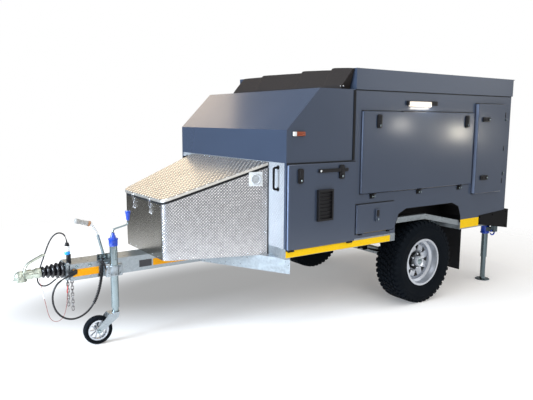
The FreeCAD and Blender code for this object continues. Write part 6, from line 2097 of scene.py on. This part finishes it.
@dataclass
class DrawbarTrim:
    """Tapes and a blank plate on the drawbar's sides."""

    half: float = 0.100
    tape_z: tuple[float, float] = (0.524, 0.580)
    tapes: tuple[tuple[float, float], ...] = ((2.795, 2.990), (1.934, 2.350))
    plate: tuple[float, float] = (2.362, 2.468)

    def build(self) -> None:
        """Lay the tapes on both sides and the plate on the left."""
        for side in Side:
            for n, (x0, x1) in enumerate(self.tapes):
                self.flat("drawbar_tape_%d_%s" % (n, side.word), side, (x0, x1), 0.0011, ORANGE_TAPE)
        self.flat("data_plate", Side.LEFT, self.plate, 0.0013, DARK_PLATE)

    def flat(self, name: str, side: Side, xs: Sequence[float], out: float, finish: Finish) -> None:
        """One thin piece on the drawbar's side."""
        ys = side.span(self.half - 0.0004, self.half + out)
        strip = block(name, axle(xs[0], ys[0], self.tape_z[0]), axle(xs[1], ys[1], self.tape_z[1]))
        inset(strip, (0, side.value, 0), 0.0015, 0.0)
        Shop.fit(soften(strip, 0.0004, 1), finish)


@dataclass
class RearEnd:
    """Bumper bolts, flap straps and the steadies' blue clamps."""

    steady_x: float = -1.190
    steady_y: float = 0.740
    tube_r: float = 0.032
    clamp_z: tuple[float, float] = (0.520, 0.590)
    half: float = 0.881
    flap_y: tuple[float, float] = (0.625, 0.865)
    bolt_at: tuple[tuple[float, float], ...] = (
        (-0.885, 0.672), (-0.885, 0.728), (-1.100, 0.735), (-1.330, 0.750), (-1.330, 0.600))

    def build(self) -> None:
        """Dress the rear end."""
        for side in Side:
            self.clamp(side)
            self.strap(side)
        heads = [bolt("bumper_bolt", axle(x, side * self.half, z), (0, side, 0), 0.0075, 0.005)
                 for side in (-1, 1) for x, z in self.bolt_at]
        Shop.fit(joined("bumper_bolts", heads), BLACK_STEEL)

    def clamp(self, side: Side) -> None:
        """Blue collar with a looped handle on a steady."""
        y = side.value * self.steady_y
        low, high = self.clamp_z
        r = self.tube_r + 0.008
        foot = axle(self.steady_x, y, 0.0)
        collar = [(r - 0.002, low - 0.012), (r + 0.004, low - 0.012), (r + 0.008, low - 0.004),
                  (r + 0.004, low + 0.006), (r + 0.004, high - 0.004), (r + 0.008, high + 0.002),
                  (r - 0.002, high + 0.003), (r - 0.002, low - 0.012)]
        ring = turned("collar", collar, foot, (0, 0, 1), 36)
        at = foot + Vector((0.014, side.value * 0.098, (low + high) / 2 - 0.022))
        turn = [math.radians(20 + 40 * n) for n in range(9)]
        path = [at + Vector((0.036 * math.cos(a), 0, 0.028 * math.sin(a))) for a in turn]
        loop = tube("loop", path, 0.0075, 3)
        Shop.fit(joined("steady_clamp_" + side.word, [ring, loop]), BLUE)

    def strap(self, side: Side) -> None:
        """The steel strip that holds a mud flap, with its bolts."""
        ys = side.span(*self.flap_y)
        strip = block("flap_strip", axle(-0.594, ys[0], 0.604), axle(-0.5918, ys[1], 0.632))
        pieces = [soften(strip, 0.0006, 1)]
        for n in range(4):
            y = ys[0] + 0.030 + 0.060 * n
            pieces.append(bolt("flap_bolt", axle(-0.594, y, 0.618), (-1, 0, 0), 0.007, 0.005))
        Shop.fit(joined("flap_strap_" + side.word, pieces), GALVANISED)


def dress_nodes(nodes: dict[str, Obj]) -> None:
    """Give every CAD node its finish."""
    for finish, names in NODE_FINISHES.items():
        for name in names:
            Shop.coat(nodes[name], finish)


def main() -> None:
    """Build the trailer's looks round the frame."""
    logging.basicConfig(level=logging.INFO, format="%(message)s")
    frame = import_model()
    nodes = frame["nodes"]
    Effects.build()
    dress_nodes(nodes)
    Studio().build()
    curves = {name: cord.build() for name, cord in CORDS.items()}
    pieces = LeadPieces().build({name: line_points(curve) for name, curve in curves.items()})
    for name, cord in CORDS.items():
        cord.declare(curves[name], pieces[name] + [nodes[n] for n in cord.with_nodes])
        LOG.info("cord %s", name)
    LOG.info("cover %s", TentCover().build().name)
    for side in Side:
        LOG.info("wheel %s", RoadWheel(side).build().name)
    for maker in (BodyTrim(), Doors(), Lamps(), FrontBox(), SafetyChains(), CouplingEnd(), JockeyWheel(),
                  DrawbarTrim(), RearEnd()):
        maker.build()
        LOG.info("built %s", type(maker).__name__)


if __name__ == "__main__":
    main()
